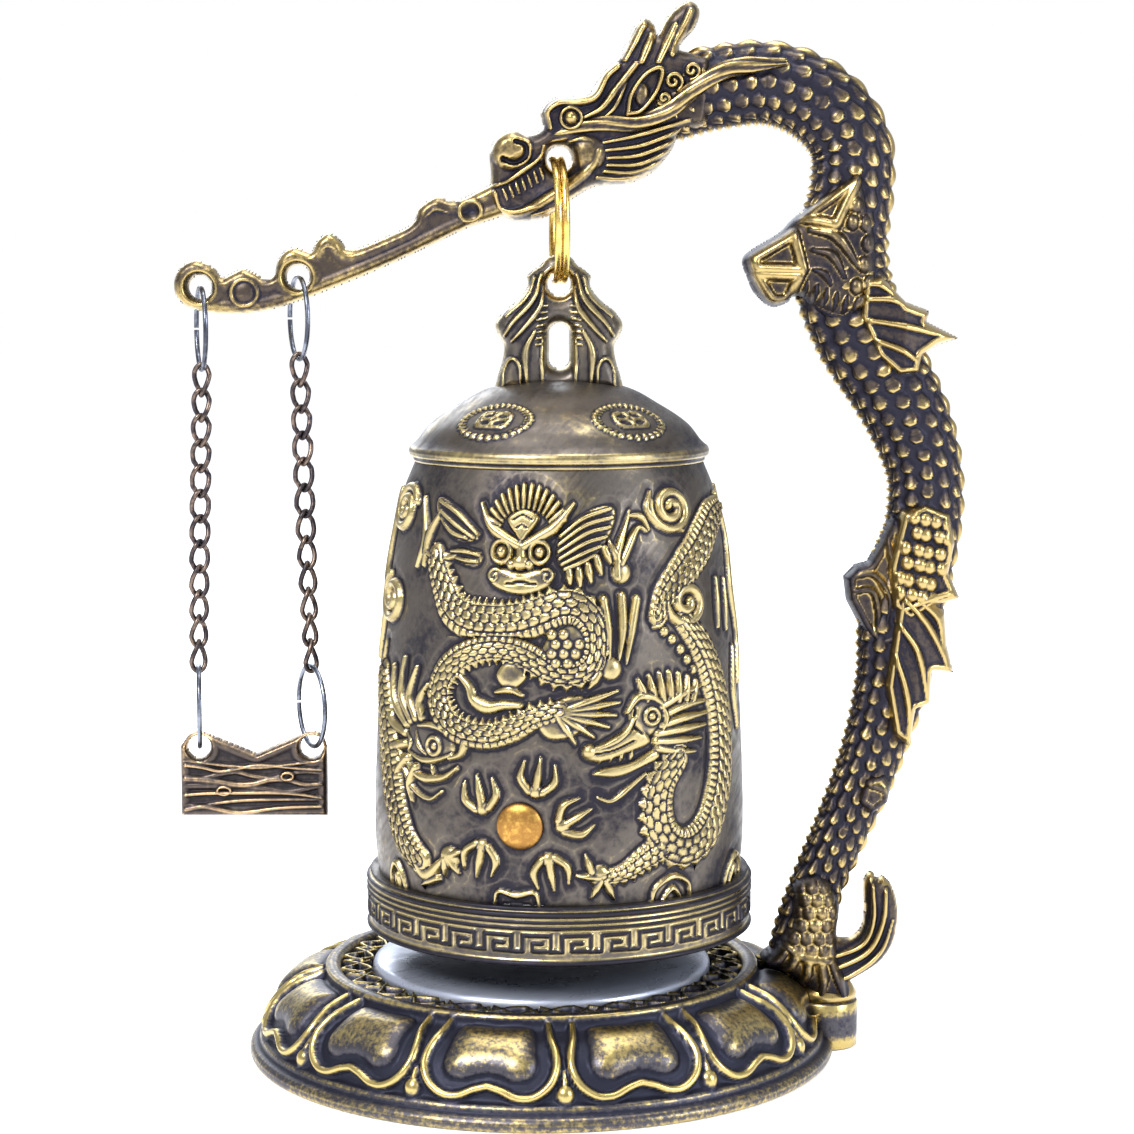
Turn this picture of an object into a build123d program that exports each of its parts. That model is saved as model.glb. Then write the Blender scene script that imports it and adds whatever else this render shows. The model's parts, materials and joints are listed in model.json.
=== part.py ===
"""Desk temple bell in antique brass.

A lotus base carries a dragon cast in one piece. The dragon's mouth holds the bell on a split
ring, and its long upper lip reaches out as a bar that holds a log striker on two chains.
Millimetres, +Z up. The origin is on the table under the middle of the lotus, the dragon rises on
the +X side, and the whole stand is mirror-symmetric about the plane y = 0.
"""

import os
from math import atan2, cos, degrees, pi, radians, sin

from build123d import *

os.makedirs("parts", exist_ok=True)

# ---- Fits -------------------------------------------------------------------------------------
PEG_FIT = 0.05          # radial clearance of the dragon's peg in the base socket
SEAT_GAP = 0.03         # clearance between the dragon's foot and the base
THREAD_FIT = 0.02       # radial clearance of the screw in the dragon's peg
RUNNING_GAP = 0.05      # clearance left between one chain link and the next

# ---- Lotus base -------------------------------------------------------------------------------
BASE_R = 39.6           # outer edge of the foot ledge
LEDGE_H = 1.7
PETAL_ROOT_R = 38.2     # petals start just inside the ledge
PETAL_ROOT_Z = 3.0
PETAL_TOP_R = 30.2
PETAL_TOP_Z = 10.9
LIP_R = 29.0            # raised ring above the petals
LIP_Z = 12.0
TRENCH_R = 27.4         # sunken ring of fretwork inside the lip
TRENCH_Z = 10.8
DISC_R = 22.6           # smooth disc under the bell
DISC_Z = 13.2
WALL = 1.8              # thickness of the casting
PETALS = 12
PETAL_GROOVE_R = 0.55
SOCKET_X = 38.9         # centre of the socket that takes the dragon's peg
SOCKET_R = 4.2
SOCKET_TOP = 6.5
PEG_R = 2.5
PEG_END = 2.9           # height of the peg's lower end
SOCKET_FLOOR = 2.6
SCREW_R = 1.25
SCREW_HEAD_R = 2.3
SCREW_HEAD_BOTTOM = 0.2
SCREW_HEAD_TOP = 1.5
SCREW_LENGTH = 7.0      # shank under the head
SCREW_HOLE_GAP = 0.15   # radial clearance of the shank in the base
SCREW_HEAD_GAP = 0.2    # radial clearance of the head in its pocket
SCREW_CROSS = (2.6, 0.6, 0.7)   # length, width and depth of the cross slot

# ---- Dragon stand -----------------------------------------------------------------------------
BAR_T = 3.4
LIP_PLATE_T = 4.4       # thin plate of the mouth around the ring hole
HEAD_T = 7.0
SNOUT_T = 5.6
TUFT_T = 4.4
TAIL_T = 4.6
BAR_HOLE_R = 1.5
LEFT_HOLE = (-45.2, 102.9)
RIGHT_HOLE = (-32.2, 104.3)
MOUTH = (2.4, 119.7)
MOUTH_HOLE_R = 1.65

# ---- Bell -------------------------------------------------------------------------------------
BELL_X = MOUTH[0]
RIM_Z = 17.3
RIM_R = 26.1
SHOULDER_Z = 81.3
SHOULDER_R = 19.9
BELL_WALL = 2.0
CROWN_HOLE_R = 1.55
CROWN_TOP_T = 3.6
CROWN_LEG_T = 7.0
HANG_DROP = 0.3         # the crown hole's centre lies this far under the ring's wire

# ---- Rings and chains -------------------------------------------------------------------------
BELL_RING_R = 8.0       # radius of the ring's centre line
BELL_RING_WIRE = 0.475
BELL_RING_PITCH = 0.98
BELL_RING_TURNS = 1.9
BELL_RING_YAW = 5
RING_R = 5.47
RING_WIRE = 0.325
RING_OPENING = 3        # degrees of a jump ring left open between its ends
LINKS = 12
LINK_WIRE = 0.34
LINK_HALF_WIDTH = 1.11
LINK_TWIST = 45         # each end of a link is turned this far from its middle

# ---- Striker ----------------------------------------------------------------------------------
STRIKER_T = 2.5
STRIKER_LEFT = -48.8
STRIKER_RIGHT = -28.9
STRIKER_BOTTOM = 31.7
STRIKER_HOLE_Z = 41.2
STRIKER_HOLES_X = (-46.2, -31.0)
STRIKER_HOLE_R = 1.5
EAR_R = 2.1


def save(piece, name):
    """Name a finished piece after its file and write it."""
    piece.part.label = name
    export_step(piece.part, f"parts/{name}.step")


# ===============================================================================================
# Base: a hollow lotus casting with a socket for the dragon's peg
# ===============================================================================================
with BuildSketch(Plane.XZ) as lotus_outline:
    with BuildLine():
        Polyline((0, 0), (BASE_R, 0), (BASE_R, LEDGE_H), (PETAL_ROOT_R, PETAL_ROOT_Z))
        ThreePointArc(
            (PETAL_ROOT_R, PETAL_ROOT_Z),
            (35.6, 7.9),
            (PETAL_TOP_R, PETAL_TOP_Z),
        )
        Polyline(
            (PETAL_TOP_R, PETAL_TOP_Z),
            (LIP_R, LIP_Z),
            (TRENCH_R, LIP_Z),
            (TRENCH_R - 0.5, TRENCH_Z),
            (DISC_R + 0.7, TRENCH_Z),
            (DISC_R, DISC_Z),
            (0, DISC_Z),
            (0, 0),
        )
    make_face()

with BuildPart() as lotus_envelope:
    add(offset(lotus_outline.sketch, amount=SEAT_GAP, mode=Mode.PRIVATE))
    revolve(axis=Axis.Z)
    with BuildSketch():
        with Locations((SOCKET_X, 0)):
            Circle(SOCKET_R + 2 * SEAT_GAP)
    extrude(amount=SOCKET_TOP + SEAT_GAP)

with BuildPart() as lotus_base:
    add(lotus_outline.sketch)
    revolve(axis=Axis.Z)
    # The underside is open: a wide shallow cup that follows the steps of the top.
    with BuildSketch(Plane.XZ):
        with BuildLine():
            Polyline(
                (0, 0),
                (BASE_R - 1.6 * WALL, 0),
                (BASE_R - 2.4 * WALL, PETAL_ROOT_Z),
                (33.2, 6.3),
                (PETAL_TOP_R - WALL, PETAL_TOP_Z - WALL),
                (DISC_R, TRENCH_Z - WALL),
                (DISC_R - WALL, DISC_Z - WALL),
                (0, DISC_Z - WALL),
                (0, 0),
            )
        make_face()
    revolve(axis=Axis.Z, mode=Mode.SUBTRACT)
    # Shallow grooves part one petal from the next.
    for petal in range(PETALS):
        angle = 5 + petal * 360 / PETALS
        spoke = Plane.XY.rotated((0, 0, angle))
        with BuildLine() as groove_line:
            add(
                Polyline(
                    spoke.from_local_coords((PETAL_ROOT_R + 0.3, 0, PETAL_ROOT_Z + 0.2)),
                    spoke.from_local_coords((36.0, 0, 7.75)),
                    spoke.from_local_coords((PETAL_TOP_R - 0.2, 0, PETAL_TOP_Z + 0.25)),
                )
            )
        with BuildSketch(Plane(origin=groove_line.line @ 0, z_dir=groove_line.line % 0)):
            Circle(PETAL_GROOVE_R)
        sweep(transition=Transition.ROUND, mode=Mode.SUBTRACT)
    # The socket stands on the table like the rim does, and a screw comes up through its floor.
    with BuildSketch():
        with Locations((SOCKET_X, 0)):
            Circle(SOCKET_R)
    extrude(amount=SOCKET_TOP)
    with BuildSketch(Plane.XY.offset(SOCKET_FLOOR)):
        with Locations((SOCKET_X, 0)):
            Circle(PEG_R + PEG_FIT)
    extrude(amount=PETAL_TOP_Z, mode=Mode.SUBTRACT)
    with BuildSketch():
        with Locations((SOCKET_X, 0)):
            Circle(SCREW_R + SCREW_HOLE_GAP)
    extrude(amount=SOCKET_TOP, mode=Mode.SUBTRACT)
    with BuildSketch():
        with Locations((SOCKET_X, 0)):
            Circle(SCREW_HEAD_R + SCREW_HEAD_GAP)
    extrude(amount=SCREW_HEAD_TOP, mode=Mode.SUBTRACT)
save(lotus_base, "lotus_base")

cross_length, cross_width, cross_depth = SCREW_CROSS
with BuildPart() as foot_screw:
    with BuildSketch(Plane.XY.offset(SCREW_HEAD_BOTTOM)):
        with Locations((SOCKET_X, 0)):
            Circle(SCREW_HEAD_R)
    extrude(amount=SCREW_HEAD_TOP - SCREW_HEAD_BOTTOM - PEG_FIT)
    fillet(foot_screw.edges().group_by(Axis.Z)[0], 0.5)
    with BuildSketch(Plane.XY.offset(SCREW_HEAD_BOTTOM)):
        with Locations((SOCKET_X, 0)):
            Circle(SCREW_R)
    extrude(amount=SCREW_LENGTH + SCREW_HEAD_TOP - SCREW_HEAD_BOTTOM)
    with BuildSketch(Plane.XY.offset(SCREW_HEAD_BOTTOM)):
        with Locations((SOCKET_X, 0)):
            Rectangle(cross_length, cross_width)
            Rectangle(cross_width, cross_length)
    extrude(amount=cross_depth, mode=Mode.SUBTRACT)
save(foot_screw, "foot_screw")

# ===============================================================================================
# Dragon stand: bar, head, body, tufts, tail and foot, all one casting in the plane y = 0
# ===============================================================================================

# Along the bar: centre and radius of each rounded swelling, from the tip to the snout.
BAR_SWELLINGS = (
    (LEFT_HOLE, 3.45),
    ((-39.3, 102.3), 3.05),
    ((-32.5, 104.7), 3.5),
    ((-28.0, 107.1), 2.9),
    ((-13.7, 111.8), 2.9),
)

# Down the body: x, z, width across the plane and thickness through it, from neck to foot.
BODY_STATIONS = (
    (17.0, 127.4, 10.5, 7.6),
    (23.5, 129.0, 9.6, 8.0),
    (30.5, 129.6, 9.6, 8.4),
    (36.8, 127.0, 9.8, 8.6),
    (40.7, 121.8, 9.9, 8.6),
    (40.9, 115.5, 10.2, 8.6),
    (39.6, 109.0, 11.4, 8.8),
    (40.2, 102.5, 12.0, 9.0),
    (43.0, 96.0, 12.0, 9.0),
    (46.4, 90.2, 11.2, 8.6),
    (49.4, 84.2, 10.4, 8.2),
    (51.2, 77.8, 9.2, 8.0),
    (51.0, 71.0, 9.4, 8.0),
    (49.3, 64.5, 11.0, 8.0),
    (48.0, 58.0, 11.0, 7.8),
    (47.3, 51.0, 9.6, 7.4),
    (45.7, 44.0, 8.6, 7.0),
    (43.4, 37.0, 7.9, 6.8),
    (40.6, 30.0, 7.2, 6.6),
    (37.8, 23.4, 6.8, 6.4),
    (35.7, 17.0, 7.4, 6.6),
)

with BuildPart() as dragon_stand:
    # The bar, a flat strip that rises towards the snout, with rounded swellings on it.
    with BuildSketch(Plane.XZ) as bar_outline:
        with BuildLine():
            Spline(
                (-46, 99.6),
                (-42, 99.4),
                (-37, 99.8),
                (-32, 101.2),
                (-16.7, 107.4),
                (-3, 113.6),
            )
            Line((-3, 113.6), (-3, 117.6))
            Spline((-3, 117.6), (-9, 115), (-20, 109.7), (-30, 106), (-38, 103.5), (-46, 103.5))
            Line((-46, 103.5), (-46, 99.6))
        make_face()
        for centre, radius in BAR_SWELLINGS:
            with Locations(centre):
                Circle(radius)
    extrude(amount=BAR_T / 2, both=True)

    # The mouth is a thinner plate between the bar and the cheeks.
    with BuildSketch(Plane.XZ):
        with BuildLine():
            Polyline(
                (-6.6, 112.6),
                (0.8, 112.2),
                (7.0, 116.1),
                (13.0, 117.0),
                (18.0, 123.0),
                (8.0, 127.0),
                (-6.0, 121.5),
                (-6.6, 112.6),
            )
        make_face()
    extrude(amount=LIP_PLATE_T / 2, both=True)

    # Nose ball, chin and cheek stand thicker around the mouth plate.
    with BuildSketch(Plane.XZ):
        with Locations((-3.7, 120.3)):
            Circle(3.2)
        with Locations((-2.4, 114.7)):
            Ellipse(4.2, 2.6)
    extrude(amount=SNOUT_T / 2, both=True)

    # Skull, brow and the beard that sweeps back under the jaw.
    with BuildSketch(Plane.XZ):
        with BuildLine():
            Polyline((0.2, 122.9), (1.4, 127.6), (6.4, 128.6), (9.9, 132.6), (14.6, 134.6))
            Line((14.6, 134.6), (19.6, 132.8))
            Line((19.6, 132.8), (20.6, 123.9))
            Spline((20.6, 123.9), (17.4, 121.4), (14.8, 118.2), (12.0, 116.7), (7.5, 116.4))
            Polyline((7.5, 116.4), (9.2, 121.6), (0.2, 122.9))
        make_face()
    extrude(amount=HEAD_T / 2, both=True)

    # Two horns, the rear one longer.
    for root, tip, width in (
        ((9.8, 130.5), (13.3, 136.6), 3.4),
        ((16.0, 131.6), (19.4, 138.8), 3.6),
    ):
        lean = degrees(atan2(tip[1] - root[1], tip[0] - root[0]))
        length = ((tip[0] - root[0]) ** 2 + (tip[1] - root[1]) ** 2) ** 0.5
        heading = Vector(1, 0, 0).rotate(Axis.Y, -lean)
        along = Plane(origin=(root[0], 0, root[1]), x_dir=(0, 1, 0), z_dir=heading)
        with BuildSketch(along):
            Ellipse(2.4, width / 2)
        with BuildSketch(along.offset(length)):
            Ellipse(1.2, 1.2)
        loft()

    # The scaled body, rounded like a snake.
    for number, (x, z, width, thickness) in enumerate(BODY_STATIONS):
        before = BODY_STATIONS[max(number - 1, 0)]
        after = BODY_STATIONS[min(number + 1, len(BODY_STATIONS) - 1)]
        heading = Vector(after[0] - before[0], 0, after[1] - before[1])
        with BuildSketch(Plane(origin=(x, 0, z), x_dir=(0, 1, 0), z_dir=heading)):
            Ellipse(thickness / 2, width / 2)
    loft()

    # The forearm and claw that grip at the throat side, and the fur tufts along the body.
    with BuildSketch(Plane.XZ):
        with BuildLine():
            Polyline((36, 113.5), (31.5, 111.6), (26.8, 107.2), (27.6, 101.6), (31.5, 99.9), (38, 101))
            Line((38, 101), (36, 113.5))
        make_face()
        with BuildLine():
            Polyline((45, 103.5), (51.8, 99.9), (52.2, 98.0), (55.6, 96.3), (50.6, 93.6), (43, 93))
            Line((43, 93), (45, 103.5))
        make_face()
        with BuildLine():
            Polyline((46, 70.5), (40.9, 65.8), (40.8, 60.6), (43.2, 55.6), (49, 55), (46, 70.5))
        make_face()
        with BuildLine():
            Polyline((50, 62), (55.2, 58.5), (54.8, 51.4), (52.4, 46.8), (49.6, 40.4), (44.5, 42))
            Line((44.5, 42), (50, 62))
        make_face()
    extrude(amount=TUFT_T / 2, both=True)

    # The tail curls back up as a hook behind the foot.
    with BuildSketch(Plane.XZ):
        with BuildLine():
            Spline((33, 12.5), (35.0, 16.5), (38.6, 17.4), (40.9, 15.0), (43.6, 16.4), (43.9, 22.4))
            ThreePointArc((43.9, 22.4), (45.3, 24.0), (46.7, 22.4))
            Spline((46.7, 22.4), (48.3, 18.4), (47.2, 12.8), (42.6, 9.0), (39.0, 6.0))
            Polyline((39.0, 6.0), (33.0, 6.0), (33.0, 12.5))
        make_face()
    extrude(amount=TAIL_T / 2, both=True)

    # The foot spreads on the lotus and carries the peg.
    with BuildSketch(Plane.XY.offset(SOCKET_TOP + SEAT_GAP)):
        with Locations((35.6, 0)):
            Ellipse(6.9, 4.0)
    with BuildSketch(Plane.XY.offset(18.0)):
        with Locations((35.9, 0)):
            Ellipse(3.4, 3.2)
    loft()
    add(lotus_envelope.part, mode=Mode.SUBTRACT)
    with BuildSketch(Plane.XY.offset(PEG_END)):
        with Locations((SOCKET_X, 0)):
            Circle(PEG_R)
    extrude(amount=SOCKET_TOP - PEG_END + 1)

    # Holes for the three rings, and the tapped hole for the screw.
    for hole, radius in (
        (LEFT_HOLE, BAR_HOLE_R),
        (RIGHT_HOLE, BAR_HOLE_R),
        (MOUTH, MOUTH_HOLE_R),
    ):
        with BuildSketch(Plane.XZ):
            with Locations(hole):
                Circle(radius)
        extrude(amount=HEAD_T, both=True, mode=Mode.SUBTRACT)
    with BuildSketch(Plane.XY.offset(PEG_END)):
        with Locations((SOCKET_X, 0)):
            Circle(SCREW_R + THREAD_FIT)
    extrude(amount=SCREW_LENGTH, mode=Mode.SUBTRACT)
save(dragon_stand, "dragon_stand")

# ===============================================================================================
# Bell: a thin-walled casting with a pierced crown
# ===============================================================================================
CROWN_HOLE_Z = MOUTH[1] - 2 * BELL_RING_R - HANG_DROP

with BuildPart() as bell:
    with BuildSketch(Plane.XZ):
        with BuildLine():
            Polyline(
                (0, RIM_Z + 3),
                (RIM_R - BELL_WALL, RIM_Z),
                (RIM_R, RIM_Z),
                (RIM_R, 24.6),
                (25.5, 24.9),
            )
            Spline((25.5, 24.9), (25.4, 38), (24.7, 52), (23.3, 66), (21.6, 75), (19.4, 80.4))
            Polyline((19.4, 80.4), (SHOULDER_R, 80.7), (SHOULDER_R, 81.9), (19.2, 82.3))
            Spline((19.2, 82.3), (17.0, 85.0), (13.4, 87.4), (8.6, 89.8), (0, 91.2))
            Line((0, 91.2), (0, RIM_Z + 3))
        make_face()
    revolve(axis=Axis.Z)
    with BuildSketch(Plane.XZ):
        with BuildLine():
            Polyline((0, RIM_Z - 1), (RIM_R - BELL_WALL, RIM_Z - 1), (RIM_R - BELL_WALL, 24))
            Spline((RIM_R - BELL_WALL, 24), (23.4, 38), (22.6, 52), (21.2, 66), (19.4, 75), (17.2, 80.4))
            Spline((17.2, 80.4), (15.2, 83.2), (12.4, 85.2), (8.2, 87.2), (0, 88.8))
            Line((0, 88.8), (0, RIM_Z - 1))
        make_face()
    revolve(axis=Axis.Z, mode=Mode.SUBTRACT)
    # Crown: two beasts back to back make the legs, and their joined necks hold the ring.
    with BuildSketch(Plane.XZ):
        with BuildLine():
            Polyline((-8.4, 89.6), (-7.3, 94.6), (-8.2, 98.2), (-3.9, 103.6), (-2.4, 105.9))
            ThreePointArc((-2.4, 105.9), (0, 107.3), (2.4, 105.9))
            Polyline((2.4, 105.9), (3.9, 103.6), (8.2, 98.2), (7.3, 94.6), (8.4, 89.6), (-8.4, 89.6))
        make_face()
        with Locations((0, CROWN_HOLE_Z)):
            Circle(CROWN_HOLE_R, mode=Mode.SUBTRACT)
        with Locations((0, 94.9)):
            SlotCenterPoint((0, 0), (0, 1.9), 2.8, mode=Mode.SUBTRACT)
    extrude(amount=CROWN_TOP_T / 2, both=True)
    with BuildSketch(Plane.XZ):
        for side in (-1, 1):
            with BuildLine():
                Polyline(
                    (side * 2.6, 88.6),
                    (side * 2.6, 98.0),
                    (side * 4.6, 100.6),
                    (side * 8.2, 98.2),
                    (side * 7.3, 94.6),
                    (side * 8.6, 88.6),
                    (side * 2.6, 88.6),
                )
            make_face()
    extrude(amount=CROWN_LEG_T / 2, both=True)
bell.part.position = (BELL_X, 0, 0)
save(bell, "bell")

# ===============================================================================================
# Rings: a sprung coil of brass wire for the bell, and steel jump rings for the chains
# ===============================================================================================
coil_height = BELL_RING_PITCH * BELL_RING_TURNS
with BuildPart() as bell_ring:
    with BuildLine() as coil:
        Helix(
            BELL_RING_PITCH,
            coil_height,
            BELL_RING_R,
            center=(-coil_height / 2, 0, 0),
            direction=(1, 0, 0),
        )
    with BuildSketch(Plane(origin=coil.line @ 0, z_dir=coil.line % 0)):
        Circle(BELL_RING_WIRE)
    sweep(is_frenet=True)
bell_ring.part.orientation = (0, 0, BELL_RING_YAW)
bell_ring.part.position = (BELL_X, 0, MOUTH[1] - BELL_RING_R)
save(bell_ring, "bell_ring")


def jump_ring(name, centre_x, centre_z, yaw, opening):
    """A steel ring in an upright plane; opening is the gap in degrees between the wire's ends."""
    with BuildPart() as ring:
        with BuildSketch(Plane.XY):
            with Locations((0, RING_R)):
                Circle(RING_WIRE)
        revolve(axis=Axis.X, revolution_arc=360 - opening)
    ring.part.orientation = (0, 0, yaw)
    ring.part.position = (centre_x, 0, centre_z)
    save(ring, name)


upper_rings = {"left": LEFT_HOLE, "right": RIGHT_HOLE}
lower_rings = {"left": STRIKER_HOLES_X[0], "right": STRIKER_HOLES_X[1]}
ring_yaw = {"left": 14, "right": 18}
lower_yaw = {"left": 8, "right": 24}
for side in ("left", "right"):
    hole_x, hole_z = upper_rings[side]
    jump_ring(f"{side}_upper_ring", hole_x, hole_z - RING_R, ring_yaw[side], RING_OPENING)
    ear_z = STRIKER_HOLE_Z + RING_R
    jump_ring(f"{side}_lower_ring", lower_rings[side], ear_z, lower_yaw[side], RING_OPENING)

# ===============================================================================================
# Chains: each link is an oval of wire twisted a quarter turn from end to end
# ===============================================================================================


def twisted_oval(angle, half_length, turn):
    """A point of a link's centre line; the angle runs round the oval from its upper end."""
    twist = radians(turn + LINK_TWIST * cos(angle))
    across = LINK_HALF_WIDTH * sin(angle)
    return Vector(across * cos(twist), across * sin(twist), half_length * cos(angle))


def chain(side):
    """One chain of links between the upper ring and the lower ring of that side."""
    hook = RING_WIRE + LINK_WIRE + RUNNING_GAP
    joint = 2 * LINK_WIRE + RUNNING_GAP
    top = Vector(upper_rings[side][0], 0, upper_rings[side][1] - 2 * RING_R)
    bottom = Vector(lower_rings[side], 0, STRIKER_HOLE_Z + 2 * RING_R)
    down = (bottom - top).normalized()
    half_length = ((bottom - top).length + 2 * hook + (LINKS - 1) * joint) / (2 * LINKS)
    start_turn = ring_yaw[side] - LINK_TWIST
    turn_each = (90 + lower_yaw[side] - ring_yaw[side]) / (LINKS - 1)
    lean = degrees(atan2(down.X, -down.Z))
    for number in range(LINKS):
        turn = start_turn + number * turn_each
        with BuildPart() as link:
            for first in (pi / 2, 3 * pi / 2):
                angles = [first + step * pi / 6 for step in range(7)]
                route = [twisted_oval(angle, half_length, turn) for angle in angles]
                ends = [
                    twisted_oval(angle + 0.001, half_length, turn) - point
                    for angle, point in ((angles[0], route[0]), (angles[-1], route[-1]))
                ]
                with BuildLine() as half_loop:
                    Spline(*route, tangents=[end.normalized() for end in ends])
                with BuildSketch(Plane(origin=half_loop.line @ 0, z_dir=half_loop.line % 0)):
                    Circle(LINK_WIRE)
                sweep()
        link.part.orientation = (0, -lean, 0)
        link.part.position = top + down * (half_length - hook + number * (2 * half_length - joint))
        save(link, f"{side}_link_{number + 1:02d}")


chain("left")
chain("right")

# ===============================================================================================
# Striker: a small log plate hung by two ears
# ===============================================================================================
with BuildPart() as striker:
    with BuildSketch(Plane.XZ):
        with BuildLine():
            Polyline(
                (STRIKER_LEFT, STRIKER_BOTTOM),
                (STRIKER_RIGHT, STRIKER_BOTTOM),
                (STRIKER_RIGHT, STRIKER_HOLE_Z),
                (STRIKER_HOLES_X[1], STRIKER_HOLE_Z + EAR_R - 0.1),
                ((STRIKER_LEFT + STRIKER_RIGHT) / 2 + 0.3, STRIKER_HOLE_Z - 0.7),
                (STRIKER_HOLES_X[0], STRIKER_HOLE_Z + EAR_R - 0.1),
                (STRIKER_LEFT, STRIKER_HOLE_Z),
                (STRIKER_LEFT, STRIKER_BOTTOM),
            )
        make_face()
        for ear_x in STRIKER_HOLES_X:
            with Locations((ear_x, STRIKER_HOLE_Z)):
                Circle(EAR_R)
        for ear_x in STRIKER_HOLES_X:
            with Locations((ear_x, STRIKER_HOLE_Z)):
                Circle(STRIKER_HOLE_R, mode=Mode.SUBTRACT)
    extrude(amount=STRIKER_T / 2, both=True)
save(striker, "striker")
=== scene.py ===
# %% [markdown]
# # A desk temple bell in antique brass
# The real object is a handful of small castings, two wire chains and a few wire rings. The packed
# model gives every piece its place and its pivots. This lesson builds the surfaces: the relief
# on the bell, the lotus petals, the scales of the dragon and the worn antique finish.
# Sizes are written in millimetres, as a founder would give them, and turned into metres at the end.

import json
from math import cos, pi, radians, sin

import bmesh
import bpy
import numpy as np
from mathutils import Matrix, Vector


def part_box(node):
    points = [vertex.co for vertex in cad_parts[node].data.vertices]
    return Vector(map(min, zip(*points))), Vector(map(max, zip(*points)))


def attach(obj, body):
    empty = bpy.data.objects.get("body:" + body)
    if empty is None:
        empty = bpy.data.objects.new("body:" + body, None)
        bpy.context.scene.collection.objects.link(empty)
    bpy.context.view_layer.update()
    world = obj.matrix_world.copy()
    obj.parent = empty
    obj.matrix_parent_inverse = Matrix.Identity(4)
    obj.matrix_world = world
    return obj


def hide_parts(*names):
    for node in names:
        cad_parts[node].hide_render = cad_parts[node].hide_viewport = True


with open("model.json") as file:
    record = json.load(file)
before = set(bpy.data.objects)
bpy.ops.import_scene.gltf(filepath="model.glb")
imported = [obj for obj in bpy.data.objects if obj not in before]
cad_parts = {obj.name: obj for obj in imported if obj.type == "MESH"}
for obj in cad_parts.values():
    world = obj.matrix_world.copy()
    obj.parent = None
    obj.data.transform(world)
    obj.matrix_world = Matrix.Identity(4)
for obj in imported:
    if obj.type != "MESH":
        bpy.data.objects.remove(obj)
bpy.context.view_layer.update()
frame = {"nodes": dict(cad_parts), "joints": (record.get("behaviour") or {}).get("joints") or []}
MM = 0.001
pivot = {joint["name"]: [value / MM for value in joint["pos_m"]] for joint in frame["joints"]}


def node_box(node):
    """The lowest and highest corners of a CAD node, in millimetres."""
    low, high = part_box(node)
    return [value / MM for value in low], [value / MM for value in high]


print("pivots in mm:", pivot)

# %% [markdown]
# ## Camera, floor and light
# A small object looks best from about a third of a metre away through a long lens, looking slightly
# down. Polished metal shows its surroundings, so the room matters as much as the lamps: a pale
# room with a few large soft panels gives long quiet highlights, and the darker gaps between the
# panels give the metal its contrast.

# %% Camera
LENS = 85.9
CAMERA_PLACE = (0.003458, -0.36107, 0.1055)
CAMERA_TILT = 83.685
camera_data = bpy.data.cameras.new("camera")
camera_data.lens = LENS
camera_data.sensor_width = 36
camera = bpy.data.objects.new("camera", camera_data)
camera.location = CAMERA_PLACE
camera.rotation_euler = (radians(CAMERA_TILT), 0, 0)
bpy.context.collection.objects.link(camera)
bpy.context.scene.camera = camera
bpy.context.scene.view_settings.view_transform = "Standard"
print("camera looks down by", round(90 - CAMERA_TILT, 1), "degrees")


# %% A helper that adds one shader node in one line
def node(tree, kind, **settings):
    """Add one shader node, set its named sockets or properties, and return it."""
    made = tree.nodes.new(kind)
    for key, value in settings.items():
        name = key.replace("_", " ")
        if hasattr(made, key):
            setattr(made, key, value)
        elif isinstance(value, bpy.types.NodeSocket):
            tree.links.new(value, made.inputs[name])
        else:
            made.inputs[name].default_value = value
    return made


# %% The room that the metal mirrors
world = bpy.data.worlds.new("pale_room")
bpy.context.scene.world = world
world.use_nodes = True
room = world.node_tree
room.nodes.clear()
rays = node(room, "ShaderNodeLightPath")
seen = node(room, "ShaderNodeBackground", Color=(1.0, 1.0, 1.0, 1), Strength=1.0)
shining = node(room, "ShaderNodeBackground", Color=(0.88, 0.92, 1.0, 1), Strength=0.72)
either = node(room, "ShaderNodeMixShader")
room.links.new(rays.outputs["Is Camera Ray"], either.inputs[0])
room.links.new(shining.outputs[0], either.inputs[1])
room.links.new(seen.outputs[0], either.inputs[2])
sky = node(room, "ShaderNodeOutputWorld")
room.links.new(either.outputs[0], sky.inputs["Surface"])
print("room:", len(room.nodes), "nodes")


# %% Four soft panels of light
def softbox(name, place, aim, size, power, colour=(1, 1, 1)):
    """A square panel of light that faces a point of the object."""
    lamp = bpy.data.lights.new(name, "AREA")
    lamp.size = size
    lamp.energy = power
    lamp.color = colour
    holder = bpy.data.objects.new(name, lamp)
    holder.location = place
    holder.rotation_euler = (Vector(aim) - Vector(place)).to_track_quat("-Z", "Y").to_euler()
    bpy.context.collection.objects.link(holder)


softbox("key_panel", (-0.30, -0.45, 0.55), (0, 0, 0.07), 0.30, 6.0)
softbox("fill_panel", (0.50, -0.30, 0.25), (0, 0, 0.07), 0.26, 2.2, (0.88, 0.93, 1.0))
softbox("top_panel", (0.05, 0.10, 0.70), (0, 0, 0.05), 0.40, 3.5)
softbox("back_panel", (-0.15, 0.60, 0.35), (0, 0, 0.07), 0.40, 2.0, (0.88, 0.93, 1.0))
print("lamps:", sorted(lamp.name for lamp in bpy.data.lights))

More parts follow.
